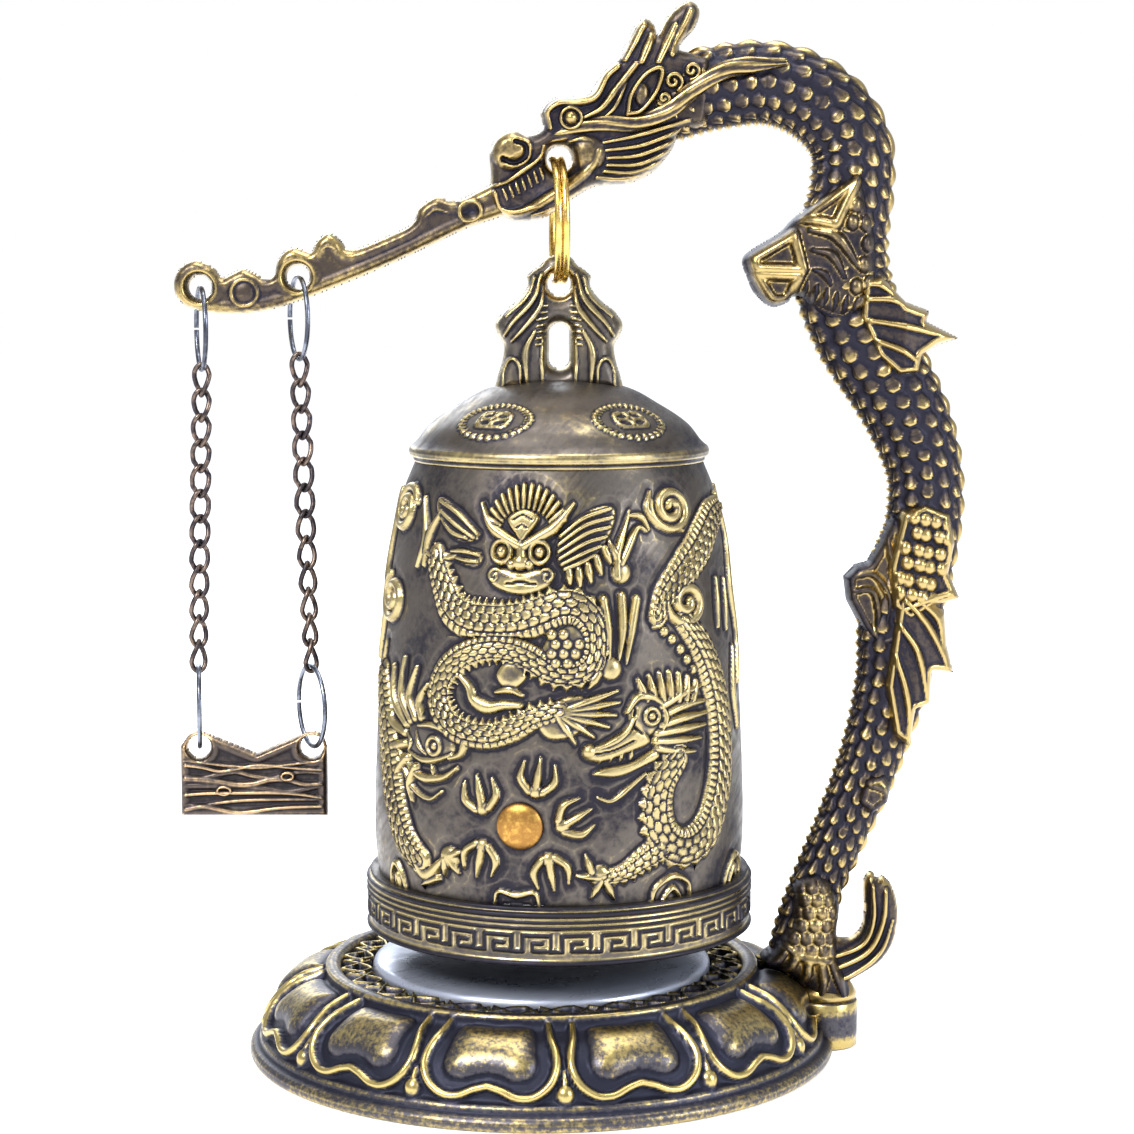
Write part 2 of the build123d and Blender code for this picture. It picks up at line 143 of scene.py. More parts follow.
# %% A pale floor
FLOOR_RADIUS = 3.0
FLOOR_GLOW = 0.46
floor_build = bmesh.new()
bmesh.ops.create_circle(floor_build, cap_ends=True, segments=96, radius=FLOOR_RADIUS)
floor_mesh = bpy.data.meshes.new("floor")
floor_build.to_mesh(floor_mesh)
floor_build.free()
floor = bpy.data.objects.new("floor", floor_mesh)
bpy.context.collection.objects.link(floor)
floor_finish = bpy.data.materials.new("pale_floor")
floor_finish.use_nodes = True
paint = floor_finish.node_tree.nodes["Principled BSDF"]
paint.inputs["Base Color"].default_value = (0.93, 0.93, 0.94, 1)
paint.inputs["Roughness"].default_value = 0.6
paint.inputs["Emission Color"].default_value = (1.0, 1.0, 1.0, 1)
paint.inputs["Emission Strength"].default_value = FLOOR_GLOW
floor_mesh.materials.append(floor_finish)
print("floor:", 2 * FLOOR_RADIUS, "m across")

# %% [markdown]
# ## The antique finish
# Antique brass is made in three steps: the casting is plated, blackened all over, and then rubbed,
# so the black stays in the hollows and the metal shines on whatever stands proud. The finish here
# does the same. Each mesh carries a value called `rubbed`, measured from its own shape: high on
# ridges and edges, low in hollows. A node group turns it into colours and roughness, with grain
# that breaks the edge of the rubbed areas. The group is built once and used with other values on
# the base, the dragon, the bell and the striker.

# %% The sockets of the blackened and rubbed metal
rubbed_metal = bpy.data.node_groups.new("rubbed_metal", "ShaderNodeTree")
for name, kind, value in (
    ("Hollow", "NodeSocketColor", (0.02, 0.02, 0.035, 1)),
    ("Ground", "NodeSocketColor", (0.12, 0.10, 0.09, 1)),
    ("Rubbed", "NodeSocketColor", (0.62, 0.50, 0.26, 1)),
    ("Shift", "NodeSocketFloat", 0.0),
    ("Speckle", "NodeSocketFloat", 900.0),
    ("Patches", "NodeSocketFloat", 0.5),
    ("Grit", "NodeSocketFloat", 0.34),
):
    rubbed_metal.interface.new_socket(name, in_out="INPUT", socket_type=kind).default_value = value
for name, kind in (
    ("Colour", "NodeSocketColor"),
    ("Roughness", "NodeSocketFloat"),
    ("Metal", "NodeSocketFloat"),
    ("Grain", "NodeSocketFloat"),
):
    rubbed_metal.interface.new_socket(name, in_out="OUTPUT", socket_type=kind)
print("rubbed_metal sockets:", [item.name for item in rubbed_metal.interface.items_tree])


# %% Short helpers for sums, colours and noise in a node tree
def link(tree, output, target):
    """Join two sockets."""
    tree.links.new(output, target)


def maths(tree, kind, first, second=None, clamp=False):
    """One sum on values that change over the surface."""
    made = tree.nodes.new("ShaderNodeMath")
    made.operation = kind
    made.use_clamp = clamp
    for socket, value in zip(made.inputs, (first, second)):
        if isinstance(value, bpy.types.NodeSocket):
            tree.links.new(value, socket)
        elif value is not None:
            socket.default_value = value
    return made.outputs[0]


def blend_colours(tree, factor, first, second):
    """A colour between two others."""
    made = tree.nodes.new("ShaderNodeMix")
    made.data_type = "RGBA"
    for socket, value in ((made.inputs[0], factor), (made.inputs[6], first), (made.inputs[7], second)):
        if isinstance(value, bpy.types.NodeSocket):
            tree.links.new(value, socket)
        else:
            socket.default_value = value
    return made.outputs[2]


def remap(tree, value, low, high, new_low=0.0, new_high=1.0):
    """Stretch a value smoothly from one range to another."""
    made = tree.nodes.new("ShaderNodeMapRange")
    made.interpolation_type = "SMOOTHSTEP"
    tree.links.new(value, made.inputs["Value"])
    for name, number in (("From Min", low), ("From Max", high), ("To Min", new_low), ("To Max", new_high)):
        made.inputs[name].default_value = number
    return made.outputs["Result"]


def noise_field(tree, coordinates, scale, detail=3.0):
    """Cloudy noise over the given coordinates."""
    made = node(tree, "ShaderNodeTexNoise", Detail=detail, Roughness=0.6)
    tree.links.new(coordinates, made.inputs["Vector"])
    if isinstance(scale, bpy.types.NodeSocket):
        tree.links.new(scale, made.inputs["Scale"])
    else:
        made.inputs["Scale"].default_value = scale
    return made.outputs[0]


# %% Inside the group: black, ground and rubbed colours from one worn value
BROAD_PATCHES = 90.0


def fill_rubbed_metal(tree):
    """Worn is the measured value, broken up by fine grit and broad patches."""
    entry = tree.nodes.new("NodeGroupInput").outputs
    leave = tree.nodes.new("NodeGroupOutput").inputs
    shape = tree.nodes.new("ShaderNodeAttribute")
    shape.attribute_name = "rubbed"
    place = tree.nodes.new("ShaderNodeTexCoord").outputs["Object"]
    fine = noise_field(tree, place, entry["Speckle"], 4.0)
    broad = noise_field(tree, place, BROAD_PATCHES, 2.0)
    grain = maths(tree, "MULTIPLY", maths(tree, "SUBTRACT", fine, 0.5), entry["Grit"])
    patches = maths(tree, "MULTIPLY", maths(tree, "SUBTRACT", broad, 0.5), entry["Patches"])
    worn = maths(tree, "ADD", maths(tree, "ADD", shape.outputs["Fac"], grain), patches)
    worn = maths(tree, "ADD", worn, entry["Shift"])
    ground = remap(tree, worn, 0.18, 0.50)
    bright = remap(tree, worn, 0.50, 0.86)
    lower = blend_colours(tree, ground, entry["Hollow"], entry["Ground"])
    link(tree, blend_colours(tree, bright, lower, entry["Rubbed"]), leave["Colour"])
    rough = remap(tree, worn, 0.25, 0.85, 0.50, 0.30)
    link(tree, maths(tree, "ADD", rough, maths(tree, "MULTIPLY", grain, 0.3)), leave["Roughness"])
    link(tree, remap(tree, worn, 0.0, 0.6, 0.72, 1.0), leave["Metal"])
    link(tree, fine, leave["Grain"])


fill_rubbed_metal(rubbed_metal)
print("rubbed_metal:", len(rubbed_metal.nodes), "nodes")

# %% Node group: brush marks left by the wire wheel
brush_marks = bpy.data.node_groups.new("brush_marks", "ShaderNodeTree")
for name, kind, value in (
    ("Angle", "NodeSocketFloat", 0.5),
    ("Scale", "NodeSocketFloat", 260.0),
):
    brush_marks.interface.new_socket(name, in_out="INPUT", socket_type=kind).default_value = value
brush_marks.interface.new_socket("Marks", in_out="OUTPUT", socket_type="NodeSocketFloat")


def fill_brush_marks(tree):
    """Noise that is pulled out into long thin lines, turned by an angle."""
    entry = tree.nodes.new("NodeGroupInput").outputs
    leave = tree.nodes.new("NodeGroupOutput").inputs
    place = tree.nodes.new("ShaderNodeTexCoord").outputs["Object"]
    turn = tree.nodes.new("ShaderNodeVectorRotate")
    turn.rotation_type = "Y_AXIS"
    link(tree, place, turn.inputs["Vector"])
    link(tree, entry["Angle"], turn.inputs["Angle"])
    stretch = tree.nodes.new("ShaderNodeMapping")
    stretch.inputs["Scale"].default_value = (0.12, 1.0, 5.0)
    link(tree, turn.outputs[0], stretch.inputs["Vector"])
    lines = noise_field(tree, stretch.outputs[0], entry["Scale"], 4.0)
    link(tree, lines, leave["Marks"])


fill_brush_marks(brush_marks)
print("brush_marks:", len(brush_marks.nodes), "nodes")


# %% A maker of antique finishes
DENT_DEPTH = 0.1 * MM


def antique(
    name, hollow, ground, rubbed, shift=0.0, speckle=900.0, patches=0.5, grit=0.34,
    marks=0.0, angle=0.5, bump=0.10, metallic=None,
):
    """Antique metal: the shared groups with this casting's own colours and values."""
    made = bpy.data.materials.new(name)
    made.use_nodes = True
    tree = made.node_tree
    metal = tree.nodes["Principled BSDF"]
    finish = tree.nodes.new("ShaderNodeGroup")
    finish.node_tree = rubbed_metal
    for socket, value in (("Hollow", hollow), ("Ground", ground), ("Rubbed", rubbed)):
        finish.inputs[socket].default_value = (*value, 1)
    finish.inputs["Shift"].default_value = shift
    finish.inputs["Speckle"].default_value = speckle
    finish.inputs["Patches"].default_value = patches
    finish.inputs["Grit"].default_value = grit
    colour = finish.outputs["Colour"]
    height = finish.outputs["Grain"]
    rough = finish.outputs["Roughness"]
    if marks:
        brush = tree.nodes.new("ShaderNodeGroup")
        brush.node_tree = brush_marks
        brush.inputs["Angle"].default_value = angle
        lines = brush.outputs["Marks"]
        height = maths(tree, "ADD", height, maths(tree, "MULTIPLY", lines, marks))
        rough = maths(tree, "ADD", rough, remap(tree, lines, 0.35, 0.65, -0.06, 0.10))
    link(tree, colour, metal.inputs["Base Color"])
    link(tree, rough, metal.inputs["Roughness"])
    if metallic is None:
        link(tree, finish.outputs["Metal"], metal.inputs["Metallic"])
    else:
        metal.inputs["Metallic"].default_value = metallic
    dents = tree.nodes.new("ShaderNodeBump")
    dents.inputs["Strength"].default_value = bump
    dents.inputs["Distance"].default_value = DENT_DEPTH
    link(tree, height, dents.inputs["Height"])
    link(tree, dents.outputs[0], metal.inputs["Normal"])
    return made


# %% A finish for each casting
bell_finish = antique(
    "bell_antique", hollow=(0.018, 0.016, 0.024), ground=(0.108, 0.093, 0.080),
    rubbed=(0.43, 0.345, 0.165),
    speckle=1100, patches=0.85, grit=0.45, marks=1.2, angle=0.9, bump=0.16,
)
pearl_finish = antique(
    "pearl_antique", hollow=(0.060, 0.030, 0.015), ground=(0.30, 0.15, 0.04),
    rubbed=(0.80, 0.48, 0.11),
    speckle=1300, patches=0.35, grit=0.7, bump=0.20,
)
base_finish = antique(
    "base_antique", hollow=(0.014, 0.015, 0.028), ground=(0.075, 0.070, 0.080),
    rubbed=(0.50, 0.385, 0.145),
    shift=-0.04, speckle=1700, patches=0.30, grit=0.75, bump=0.20,
)
dragon_finish = antique(
    "dragon_antique", hollow=(0.014, 0.013, 0.024), ground=(0.072, 0.056, 0.045),
    rubbed=(0.42, 0.31, 0.125),
    shift=-0.05, speckle=1500, patches=0.65, grit=0.60, bump=0.22,
)
striker_finish = antique(
    "striker_antique", hollow=(0.020, 0.017, 0.020), ground=(0.085, 0.068, 0.060),
    rubbed=(0.48, 0.33, 0.18),
    shift=-0.05, speckle=1300, patches=0.40, grit=0.45, bump=0.15,
)
# The disc's pale blue-grey colours are a painted reflection. They stand in for the pale room mirrored in
# its polished top, on a metal that is only partly metallic.
painted_reflection_disc_finish = antique(
    "disc_painted_reflection", hollow=(0.15, 0.16, 0.21), ground=(0.25, 0.265, 0.335),
    rubbed=(0.42, 0.45, 0.54),
    speckle=700, patches=0.4, marks=0.6, angle=0.2, bump=0.08, metallic=0.65,
)
print("finishes:", sorted(finish.name for finish in bpy.data.materials if finish.name != "pale_floor"))

# %% [markdown]
# ## Drawing relief
# The founder carves a relief as strokes: a stroke has a line, a width and a height, and where
# strokes cross, the higher one wins. The same idea works on a grid of points. For every grid point
# the distance to the stroke's line gives the height there. Points here are flat: across and up for
# the bell's unrolled wall, x and z for the dragon, and along and down for a petal.


# %% Smooth lines
def smooth_line(points, closed=False, step=0.35):
    """A dense smooth curve through a few points."""
    given = np.asarray(points, float)
    if closed:
        around = np.vstack([given[-1], given, given[0], given[1]])
    else:
        around = np.vstack([2 * given[0] - given[1], given, 2 * given[-1] - given[-2]])
    runs = []
    for a, b, c, d in zip(around, around[1:], around[2:], around[3:]):
        count = max(2, int(np.ceil(np.linalg.norm(c - b) / step)))
        t = np.linspace(0, 1, count, endpoint=False)[:, None]
        curve = 2 * b + (c - a) * t + (2 * a - 5 * b + 4 * c - d) * t**2 + (3 * b - a - 3 * c + d) * t**3
        runs.append(0.5 * curve)
    runs.append(given[:1] if closed else given[-1:])
    return np.vstack(runs)


trial = smooth_line([(0, 0), (10, 0), (10, 10)])
print("a corner becomes a curve of", len(trial), "points")


# %% How far each place is from a line or from a rim
ROOM_FOR_PAIRS = 4_000_000


def near_line(where, line, reach):
    """Places within reach of a line: their numbers, distance, way along and signed side."""
    low, high = line.min(0) - reach, line.max(0) + reach
    near = np.flatnonzero(np.all((where >= low) & (where <= high), axis=1))
    start, run = line[:-1], np.diff(line, axis=0)
    length = np.maximum(np.hypot(run[:, 0], run[:, 1]), 1e-9)
    travelled = np.concatenate([[0], np.cumsum(length)])
    found = []
    for part in np.array_split(near, max(1, len(near) * len(run) // ROOM_FOR_PAIRS)):
        offset = where[part][:, None, :] - start
        t = np.clip((offset * run).sum(2) / length**2, 0, 1)
        gap = offset - t[..., None] * run
        far = np.hypot(gap[..., 0], gap[..., 1])
        best = far.argmin(1)
        row = np.arange(len(part))
        side = np.sign(run[best, 0] * gap[row, best, 1] - run[best, 1] * gap[row, best, 0])
        found.append((part, far[row, best], travelled[best] + t[row, best] * length[best], side))
    near, far, along, side = (np.concatenate(column) for column in zip(*found))
    keep = far < reach
    return near[keep], far[keep], along[keep], side[keep], travelled[-1]


def inside_distance(where, outline):
    """How deep each place lies inside a closed outline, negative outside, and the nearest rim point."""
    start, end = outline[:-1], outline[1:]
    run = end - start
    length = np.maximum((run**2).sum(1), 1e-12)
    depth = np.empty(len(where))
    rim = np.empty((len(where), 2))
    for part in np.array_split(np.arange(len(where)), max(1, len(where) * len(run) // ROOM_FOR_PAIRS)):
        spot = where[part]
        offset = spot[:, None, :] - start
        t = np.clip((offset * run).sum(2) / length, 0, 1)
        closest = start + t[..., None] * run
        far = np.hypot(*np.moveaxis(spot[:, None, :] - closest, 2, 0))
        best = far.argmin(1)
        row = np.arange(len(part))
        rises = (start[:, 1] > spot[:, 1:2]) != (end[:, 1] > spot[:, 1:2])
        slope = np.where(run[:, 1] == 0, 1e-12, run[:, 1])
        crossing = start[:, 0] + (spot[:, 1:2] - start[:, 1]) * run[:, 0] / slope
        odd = (rises & (spot[:, 0:1] < crossing)).sum(1) % 2 == 1
        depth[part] = np.where(odd, far[row, best], -far[row, best])
        rim[part] = closest[row, best]
    return depth, rim


square = np.array([(0, 0), (10, 0), (10, 10), (0, 10), (0, 0)], float)
print("the middle of a 10 mm square lies", inside_distance(np.array([(5.0, 5.0)]), square)[0][0],
      "mm inside")

# %% The relief: strokes, balls, rings, spirals and scaled bodies
DIP = 0.20
DIP_REACH = 1.3
TOOTH = 0.9


class Relief:
    """Heights in millimetres over flat places, built up stroke by stroke."""

    def __init__(self, where, bold=1.0):
        self.where = where
        self.bold = bold
        self.rise = np.zeros(len(where))
        self.shade = np.zeros(len(where))

    def lift(self, which, height):
        """Where figures cross, the higher one wins."""
        self.rise[which] = np.maximum(self.rise[which], height)

    def sink(self, which, gap):
        """Remember where the ground dips and darkens beside a figure."""
        self.shade[which] = np.maximum(self.shade[which], np.clip(1 - gap / DIP_REACH, 0, 1))

    def sunk(self):
        """The relief with a shallow dip round every figure."""
        return self.rise - DIP * self.shade * (1 - np.clip(self.rise / 0.15, 0, 1))

    def stroke(self, points, width, rise, ends=(0.45, 0.45), smooth=True, closed=False):
        """A rounded ridge that is widest in the middle; ends say how much width is left there."""
        line = smooth_line(points, closed) if smooth else np.asarray(points, float)
        width = width * self.bold
        near, far, along, side, length = near_line(self.where, line, width / 2 + DIP_REACH)
        share = np.interp(along / length, [0, 0.5, 1], [ends[0], 1, ends[1]])
        round_top = np.clip(1 - (far / (width / 2 * share)) ** 2, 0, 1)
        self.lift(near, rise * round_top**0.6 * (0.5 + 0.5 * share))
        self.sink(near, far - width / 2 * share)

    def groove(self, points, width, depth, smooth=True):
        """A line cut into what is already there."""
        line = smooth_line(points) if smooth else np.asarray(points, float)
        near, far, *_ = near_line(self.where, line, width / 2)
        self.rise[near] -= depth * np.clip(1 - (far / (width / 2)) ** 2, 0, 1)

    def ball(self, centre, radius, rise, squash=1.0):
        """A round boss, or an upright oval one."""
        gap = (self.where - np.asarray(centre, float)) / (1.0, squash)
        far = np.hypot(gap[:, 0], gap[:, 1]) / radius
        which = np.flatnonzero(far < 1 + DIP_REACH / radius)
        self.lift(which, rise * np.sqrt(np.clip(1 - far[which] ** 2, 0, 1)))
        self.sink(which, (far[which] - 1) * radius)

    def plate(self, outline, rise, edge=0.8, smooth=True):
        """A flat raised patch with rounded edges."""
        outline = smooth_line(outline, closed=True) if smooth else np.asarray(outline, float)
        closed = np.vstack([outline, outline[:1]])
        low, high = closed.min(0) - DIP_REACH, closed.max(0) + DIP_REACH
        near = np.flatnonzero(np.all((self.where >= low) & (self.where <= high), axis=1))
        if len(near) == 0:
            return
        depth, _ = inside_distance(self.where[near], closed)
        share = np.clip(depth / edge, 0, 1)
        self.lift(near, rise * np.sqrt(1 - (1 - share) ** 2))
        self.sink(near, -depth)

    def ring(self, centre, radius, width, rise, squash=1.0):
        """A raised circle or oval."""
        turn = np.linspace(0, 2 * pi, 33)
        loop = np.column_stack([centre[0] + radius * np.cos(turn),
                                centre[1] + radius * squash * np.sin(turn)])
        self.stroke(loop, width, rise, ends=(1, 1), smooth=False)

    def spiral(self, centre, radius, turns, width, rise, start=0.0, squash=1.0):
        """A curl that winds inwards."""
        turn = np.linspace(0, 2 * pi * turns, int(28 * abs(turns)))
        shrink = radius * (1 - 0.82 * np.linspace(0, 1, len(turn)))
        x = centre[0] + shrink * np.cos(turn + start) * squash
        z = centre[1] + shrink * np.sin(turn + start)
        self.stroke(np.column_stack([x, z]), width, rise, ends=(0.8, 1), smooth=False)

    def body(self, points, widths, rise, pitch=1.7, lanes=3, belly=-1):
        """A serpent: rows of overlapping scales, ribs along the belly side and teeth along the back."""
        line = smooth_line(points)
        near, far, along, side, length = near_line(self.where, line, max(widths) / 2 + DIP_REACH)
        half = np.interp(along / length, np.linspace(0, 1, len(widths)), widths) / 2
        across = np.clip(-belly * side * far / half, -1.6, 1.6)
        inside = np.abs(across) < 1
        level = np.sqrt(np.clip(1 - across**2, 0, 1))
        lane = (across + 0.4) / 1.4 * lanes
        step = (along / pitch + 0.5 * (np.floor(lane) % 2)) % 1
        over = 2 * (lane % 1) - 1
        tip = 1 - 0.40 * over**2
        past = np.clip((step - tip) / 0.14, 0, 1)
        scale = np.sqrt(np.clip(1 - 0.75 * over**2, 0, 1)) * (0.30 + 0.70 * np.clip(step / tip, 0,
                                                                                    1)) * (1 - past)
        ribs = np.sqrt(np.clip(np.abs(np.sin(pi * along / (0.62 * pitch))), 0, 1))
        seam = np.clip(np.abs(across + 0.42) / 0.10, 0, 1)
        pattern = np.where(across > -0.4, 0.25 + 0.75 * scale, 0.20 + 0.55 * ribs) * (0.45 + 0.55 * seam)
        self.lift(near[inside], (rise * (0.30 * level + 0.70 * pattern * level**0.5))[inside])
        spike = (1 - np.abs(2 * ((along / (0.85 * pitch)) % 1) - 1)) * TOOTH
        out = across > 0.97
        beyond = far - half
        fits = out & (beyond < spike)
        self.lift(near[fits], rise * 0.62 * np.sqrt(np.clip(1 - beyond / np.maximum(spike, 1e-6),
                                                            0, 1))[fits])
        self.sink(near, beyond)


trial = Relief(np.array([(0.0, 0.0), (0.4, 0.0), (3.0, 0.0)]))
trial.stroke([(0, -2), (0, 2)], 1.0, 0.8, smooth=False)
print("a stroke's height on its line, near its edge and beside it:", trial.rise.round(2))

# %% [markdown]
# ## From relief to mesh
# Three ways of turning heights into metal are enough for every carved casting here. A *turned*
# skin starts as a flat grid, is rolled round the bell's or the base's axis along a profile, and is
# pushed out by its relief. A *cast plate* is a grid cut to an outline, thickened, and puffed up
# equally on both sides, as from a two-part mould. A *snake* is a grid rolled round a winding
# spine. In each, bmesh makes the grid and closes it, and only the places of its points are set.
# Sculpting with brushes would give the same shapes, but nobody could rerun it. Plain turned parts,
# such as the disc and the peg, are spun on a lathe with no relief.
#
# Every piece is then measured: a point that stands proud of its smoothed neighbourhood is where a
# rag would rub, and the finish reads that measure.


# %% Measure where a rag would rub: ridges against hollows
MOST_RUBBED = 1.2


def mark_rubbed(mesh, reach=(2, 9), gain=(9.0, 3.0), base=0.42, proud=0.0):
    """Store how far each point stands proud of its neighbourhood as the attribute 'rubbed'."""
    count = len(mesh.vertices)
    place = np.empty(count * 3)
    mesh.vertices.foreach_get("co", place)
    place = place.reshape(-1, 3) / MM
    normal = np.empty(count * 3)
    mesh.vertices.foreach_get("normal", normal)
    normal = normal.reshape(-1, 3)
    pairs = np.empty(len(mesh.edges) * 2, dtype=int)
    mesh.edges.foreach_get("vertices", pairs)
    a, b = pairs.reshape(-1, 2).T
    links = np.maximum(np.bincount(a, minlength=count) + np.bincount(b, minlength=count), 1)
    eased = place.copy()
    total = np.full(count, base)
    for steps in range(1, max(reach) + 1):
        columns = [
            np.bincount(a, eased[b, axis], minlength=count) + np.bincount(b, eased[a, axis],
                                                                          minlength=count)
            for axis in range(3)
        ]
        eased = 0.5 * eased + 0.5 * np.column_stack(columns) / links[:, None]
        for stop, strength in zip(reach, gain):
            if steps == stop:
                total += strength * ((place - eased) * normal).sum(1)
    if proud:
        relief = np.empty(count)
        mesh.attributes["relief"].data.foreach_get("value", relief)
        total += proud * relief
    mark = mesh.attributes.new("rubbed", "FLOAT", "POINT")
    mark.data.foreach_set("value", np.clip(total, 0, MOST_RUBBED))


# %% Give a piece its mesh, its finish and its body
def finish_piece(name, build, body, slot, finish, replaces=(), **marking):
    """Turn a bmesh into a named piece that rides on its body."""
    mesh = bpy.data.meshes.new(name)
    build.to_mesh(mesh)
    build.free()
    mesh.polygons.foreach_set("use_smooth", [True] * len(mesh.polygons))
    mark_rubbed(mesh, **marking)
    mesh.materials.append(finish)
    piece = bpy.data.objects.new(name, mesh)
    bpy.context.collection.objects.link(piece)
    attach(piece, body)
    if replaces:
        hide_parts(*replaces)
    triangles = sum(len(face.vertices) - 2 for face in mesh.polygons)
    print(f"{name}: {triangles} triangles")
    return piece


# %% Grids, and points along a profile
LOOK_AHEAD = 0.3


def lengths_along(line):
    """How far along a flat line each of its points lies."""
    return np.concatenate([[0], np.cumsum(np.hypot(*np.diff(line, axis=0).T))])


def profile_at(profile, distance):
    """Points and outward normals of a turned profile at distances along it."""
    steps = lengths_along(profile)
    spot, ahead, behind = (
        np.column_stack([np.interp(distance + shift, steps, profile[:, axis]) for axis in (0, 1)])
        for shift in (0, LOOK_AHEAD, -LOOK_AHEAD)
    )
    way = ahead - behind
    way /= np.maximum(np.hypot(way[:, 0], way[:, 1]), 1e-9)[:, None]
    return spot, np.column_stack([way[:, 1], -way[:, 0]])


def grid_points(columns, rows):
    """A bmesh grid and the place of each of its points as fractions from 0 to 1."""
    build = bmesh.new()
    bmesh.ops.create_grid(build, x_segments=columns, y_segments=rows, size=0.5)
    flat = np.array([vertex.co[:2] for vertex in build.verts]) + 0.5
    return build, flat


def set_points(build, places, rise):
    """Move the points of a grid to their places, and remember the relief at each."""
    relief = build.verts.layers.float.new("relief")
    for vertex, place, height in zip(build.verts, places * MM, rise):
        vertex.co = place
        vertex[relief] = height


trial, fractions = grid_points(2, 2)
print("a grid of 2 by 2 has", len(trial.verts), "points from", fractions.min(0), "to", fractions.max(0))
trial.free()


# %% A turned skin
SAME_POINT = 0.001 * MM


def turned_skin(profile, centre, first, last, cell, draw, radius_for_columns):
    """Roll a grid round a vertical axis along a profile and push it out by its relief."""
    length = np.hypot(*np.diff(profile, axis=0).T).sum()
    columns = int(radians(last - first) * radius_for_columns / cell)
    rows = int(length / cell)
    build, flat = grid_points(columns, rows)
    angle = np.radians(first + flat[:, 0] * (last - first))
    distance = flat[:, 1] * length
    spot, normal = profile_at(profile, distance)
    rise = draw(angle, distance, spot)
    radius = spot[:, 0] + normal[:, 0] * rise
    height = spot[:, 1] + normal[:, 1] * rise
    places = np.column_stack([centre + radius * np.sin(angle), -radius * np.cos(angle), height])
    set_points(build, places, rise)
    bmesh.ops.remove_doubles(build, verts=build.verts, dist=SAME_POINT)
    bmesh.ops.recalc_face_normals(build, faces=build.faces)
    middle = build.faces[len(build.faces) // 2]
    middle_place = middle.calc_center_median()
    outward = middle_place - Vector((centre * MM, 0, middle_place.z - 2 * MM))
    if middle.normal.dot(outward) < 0:
        bmesh.ops.reverse_faces(build, faces=build.faces)
    return build


def no_relief(angle, distance, spot):
    """A plain surface."""
    return np.zeros(len(distance))


trial = turned_skin(np.array([(10.0, 0.0), (10.0, 5.0)]), 0, 0, 90, 1.0, no_relief, 10.0)
print("a quarter of a plain drum has", len(trial.faces), "faces")
trial.free()

# %% A cast plate
SNAP_TO_RIM = 0.55
THINNEST_HALF = 0.12


def cast_plate(outline, holes, cell, thickness, edge, draw):
    """Cut a grid to an outline in x and z, puff it up from its rims, carve it and mirror it in y = 0."""
    loop = np.vstack([outline, outline[:1]])
    low, high = loop.min(0) - 2 * cell, loop.max(0) + 2 * cell
    columns, rows = (int(round(v)) for v in (high - low) / cell)
    build, flat = grid_points(columns, rows)
    where = low + flat * (high - low)
    depth, rim = inside_distance(where, loop)
    for centre, radius in holes:
        gap = where - centre
        far = np.maximum(np.hypot(gap[:, 0], gap[:, 1]), 1e-6)
        nearer = far - radius < depth
        depth = np.where(nearer, far - radius, depth)
        rim = np.where(nearer[:, None], centre + gap / far[:, None] * radius, rim)
    on_rim = np.abs(depth) < SNAP_TO_RIM * cell
    where = np.where(on_rim[:, None], rim, where)
    depth = np.where(on_rim, 0, depth)
    half = thickness(where) / 2 if callable(thickness) else thickness / 2
    share = np.clip(depth / edge, 0, 1)
    puff = half * np.sqrt(1 - (1 - share) ** 2)
    relief = Relief(where)
    draw(relief, depth)
    rise = relief.rise * np.clip(depth / 0.5, 0, 1)
    front = np.where(depth > 0, np.maximum(puff + rise, THINNEST_HALF), 0)
    set_points(build, np.column_stack([where[:, 0], -front, where[:, 1]]), rise)
    outside = [vertex for vertex, deep in zip(build.verts[:], depth) if deep < 0]
    bmesh.ops.delete(build, geom=outside, context="VERTS")
    loose = [vertex for vertex in build.verts if not vertex.link_faces]
    bmesh.ops.delete(build, geom=loose, context="VERTS")
    for vertex in build.verts:
        if vertex.is_boundary:
            vertex.co.y = 0
    sheet = build.verts[:] + build.edges[:] + build.faces[:]
    bmesh.ops.mirror(build, geom=sheet, axis="Y", merge_dist=SAME_POINT)
    parting = [vertex for vertex in build.verts if abs(vertex.co.y) < 1e-7]
    bmesh.ops.remove_doubles(build, verts=parting, dist=2 * SAME_POINT)
    bmesh.ops.recalc_face_normals(build, faces=build.faces)
    return build


# %% A snake
def snake(spine, cell, draw):
    """Roll a grid round a winding spine of (x, y, z, width, thickness) rows and carve it."""
    spine = np.asarray(spine, float)
    middle = smooth_line(spine[:, :3], step=0.5)
    steps = np.concatenate([[0], np.cumsum(np.linalg.norm(np.diff(middle, axis=0), axis=1))])
    knots = [np.linalg.norm(middle - row, axis=1).argmin() for row in spine[:, :3]]
    sizes = [np.interp(steps, steps[knots], spine[:, column]) for column in (3, 4)]
    columns = int(pi * spine[:, 3:].mean() / cell)
    build, flat = grid_points(columns, max(8, int(steps[-1] / cell)))
    along = flat[:, 1] * steps[-1]
    angle = flat[:, 0] * 2 * pi
    centre = np.column_stack([np.interp(along, steps, middle[:, axis]) for axis in range(3)])
    way = np.gradient(middle, axis=0)
    way = np.column_stack([np.interp(along, steps, way[:, axis]) for axis in range(3)])
    back = np.column_stack([-way[:, 2], np.zeros(len(way)), way[:, 0]])
    back /= np.maximum(np.linalg.norm(back, axis=1), 1e-9)[:, None]
    width, thick = (np.interp(along, steps, size) / 2 for size in sizes)
    rise = draw(along, angle, width, thick, steps[-1])
    across = (width + rise) * np.cos(angle)
    through = (thick + rise) * np.sin(angle)
    places = centre + back * across[:, None] + np.column_stack([0 * across, through, 0 * across])
    set_points(build, places, rise)
    bmesh.ops.remove_doubles(build, verts=build.verts, dist=SAME_POINT)
    bmesh.ops.holes_fill(build, edges=[edge for edge in build.edges if edge.is_boundary])
    bmesh.ops.recalc_face_normals(build, faces=build.faces)
    return build


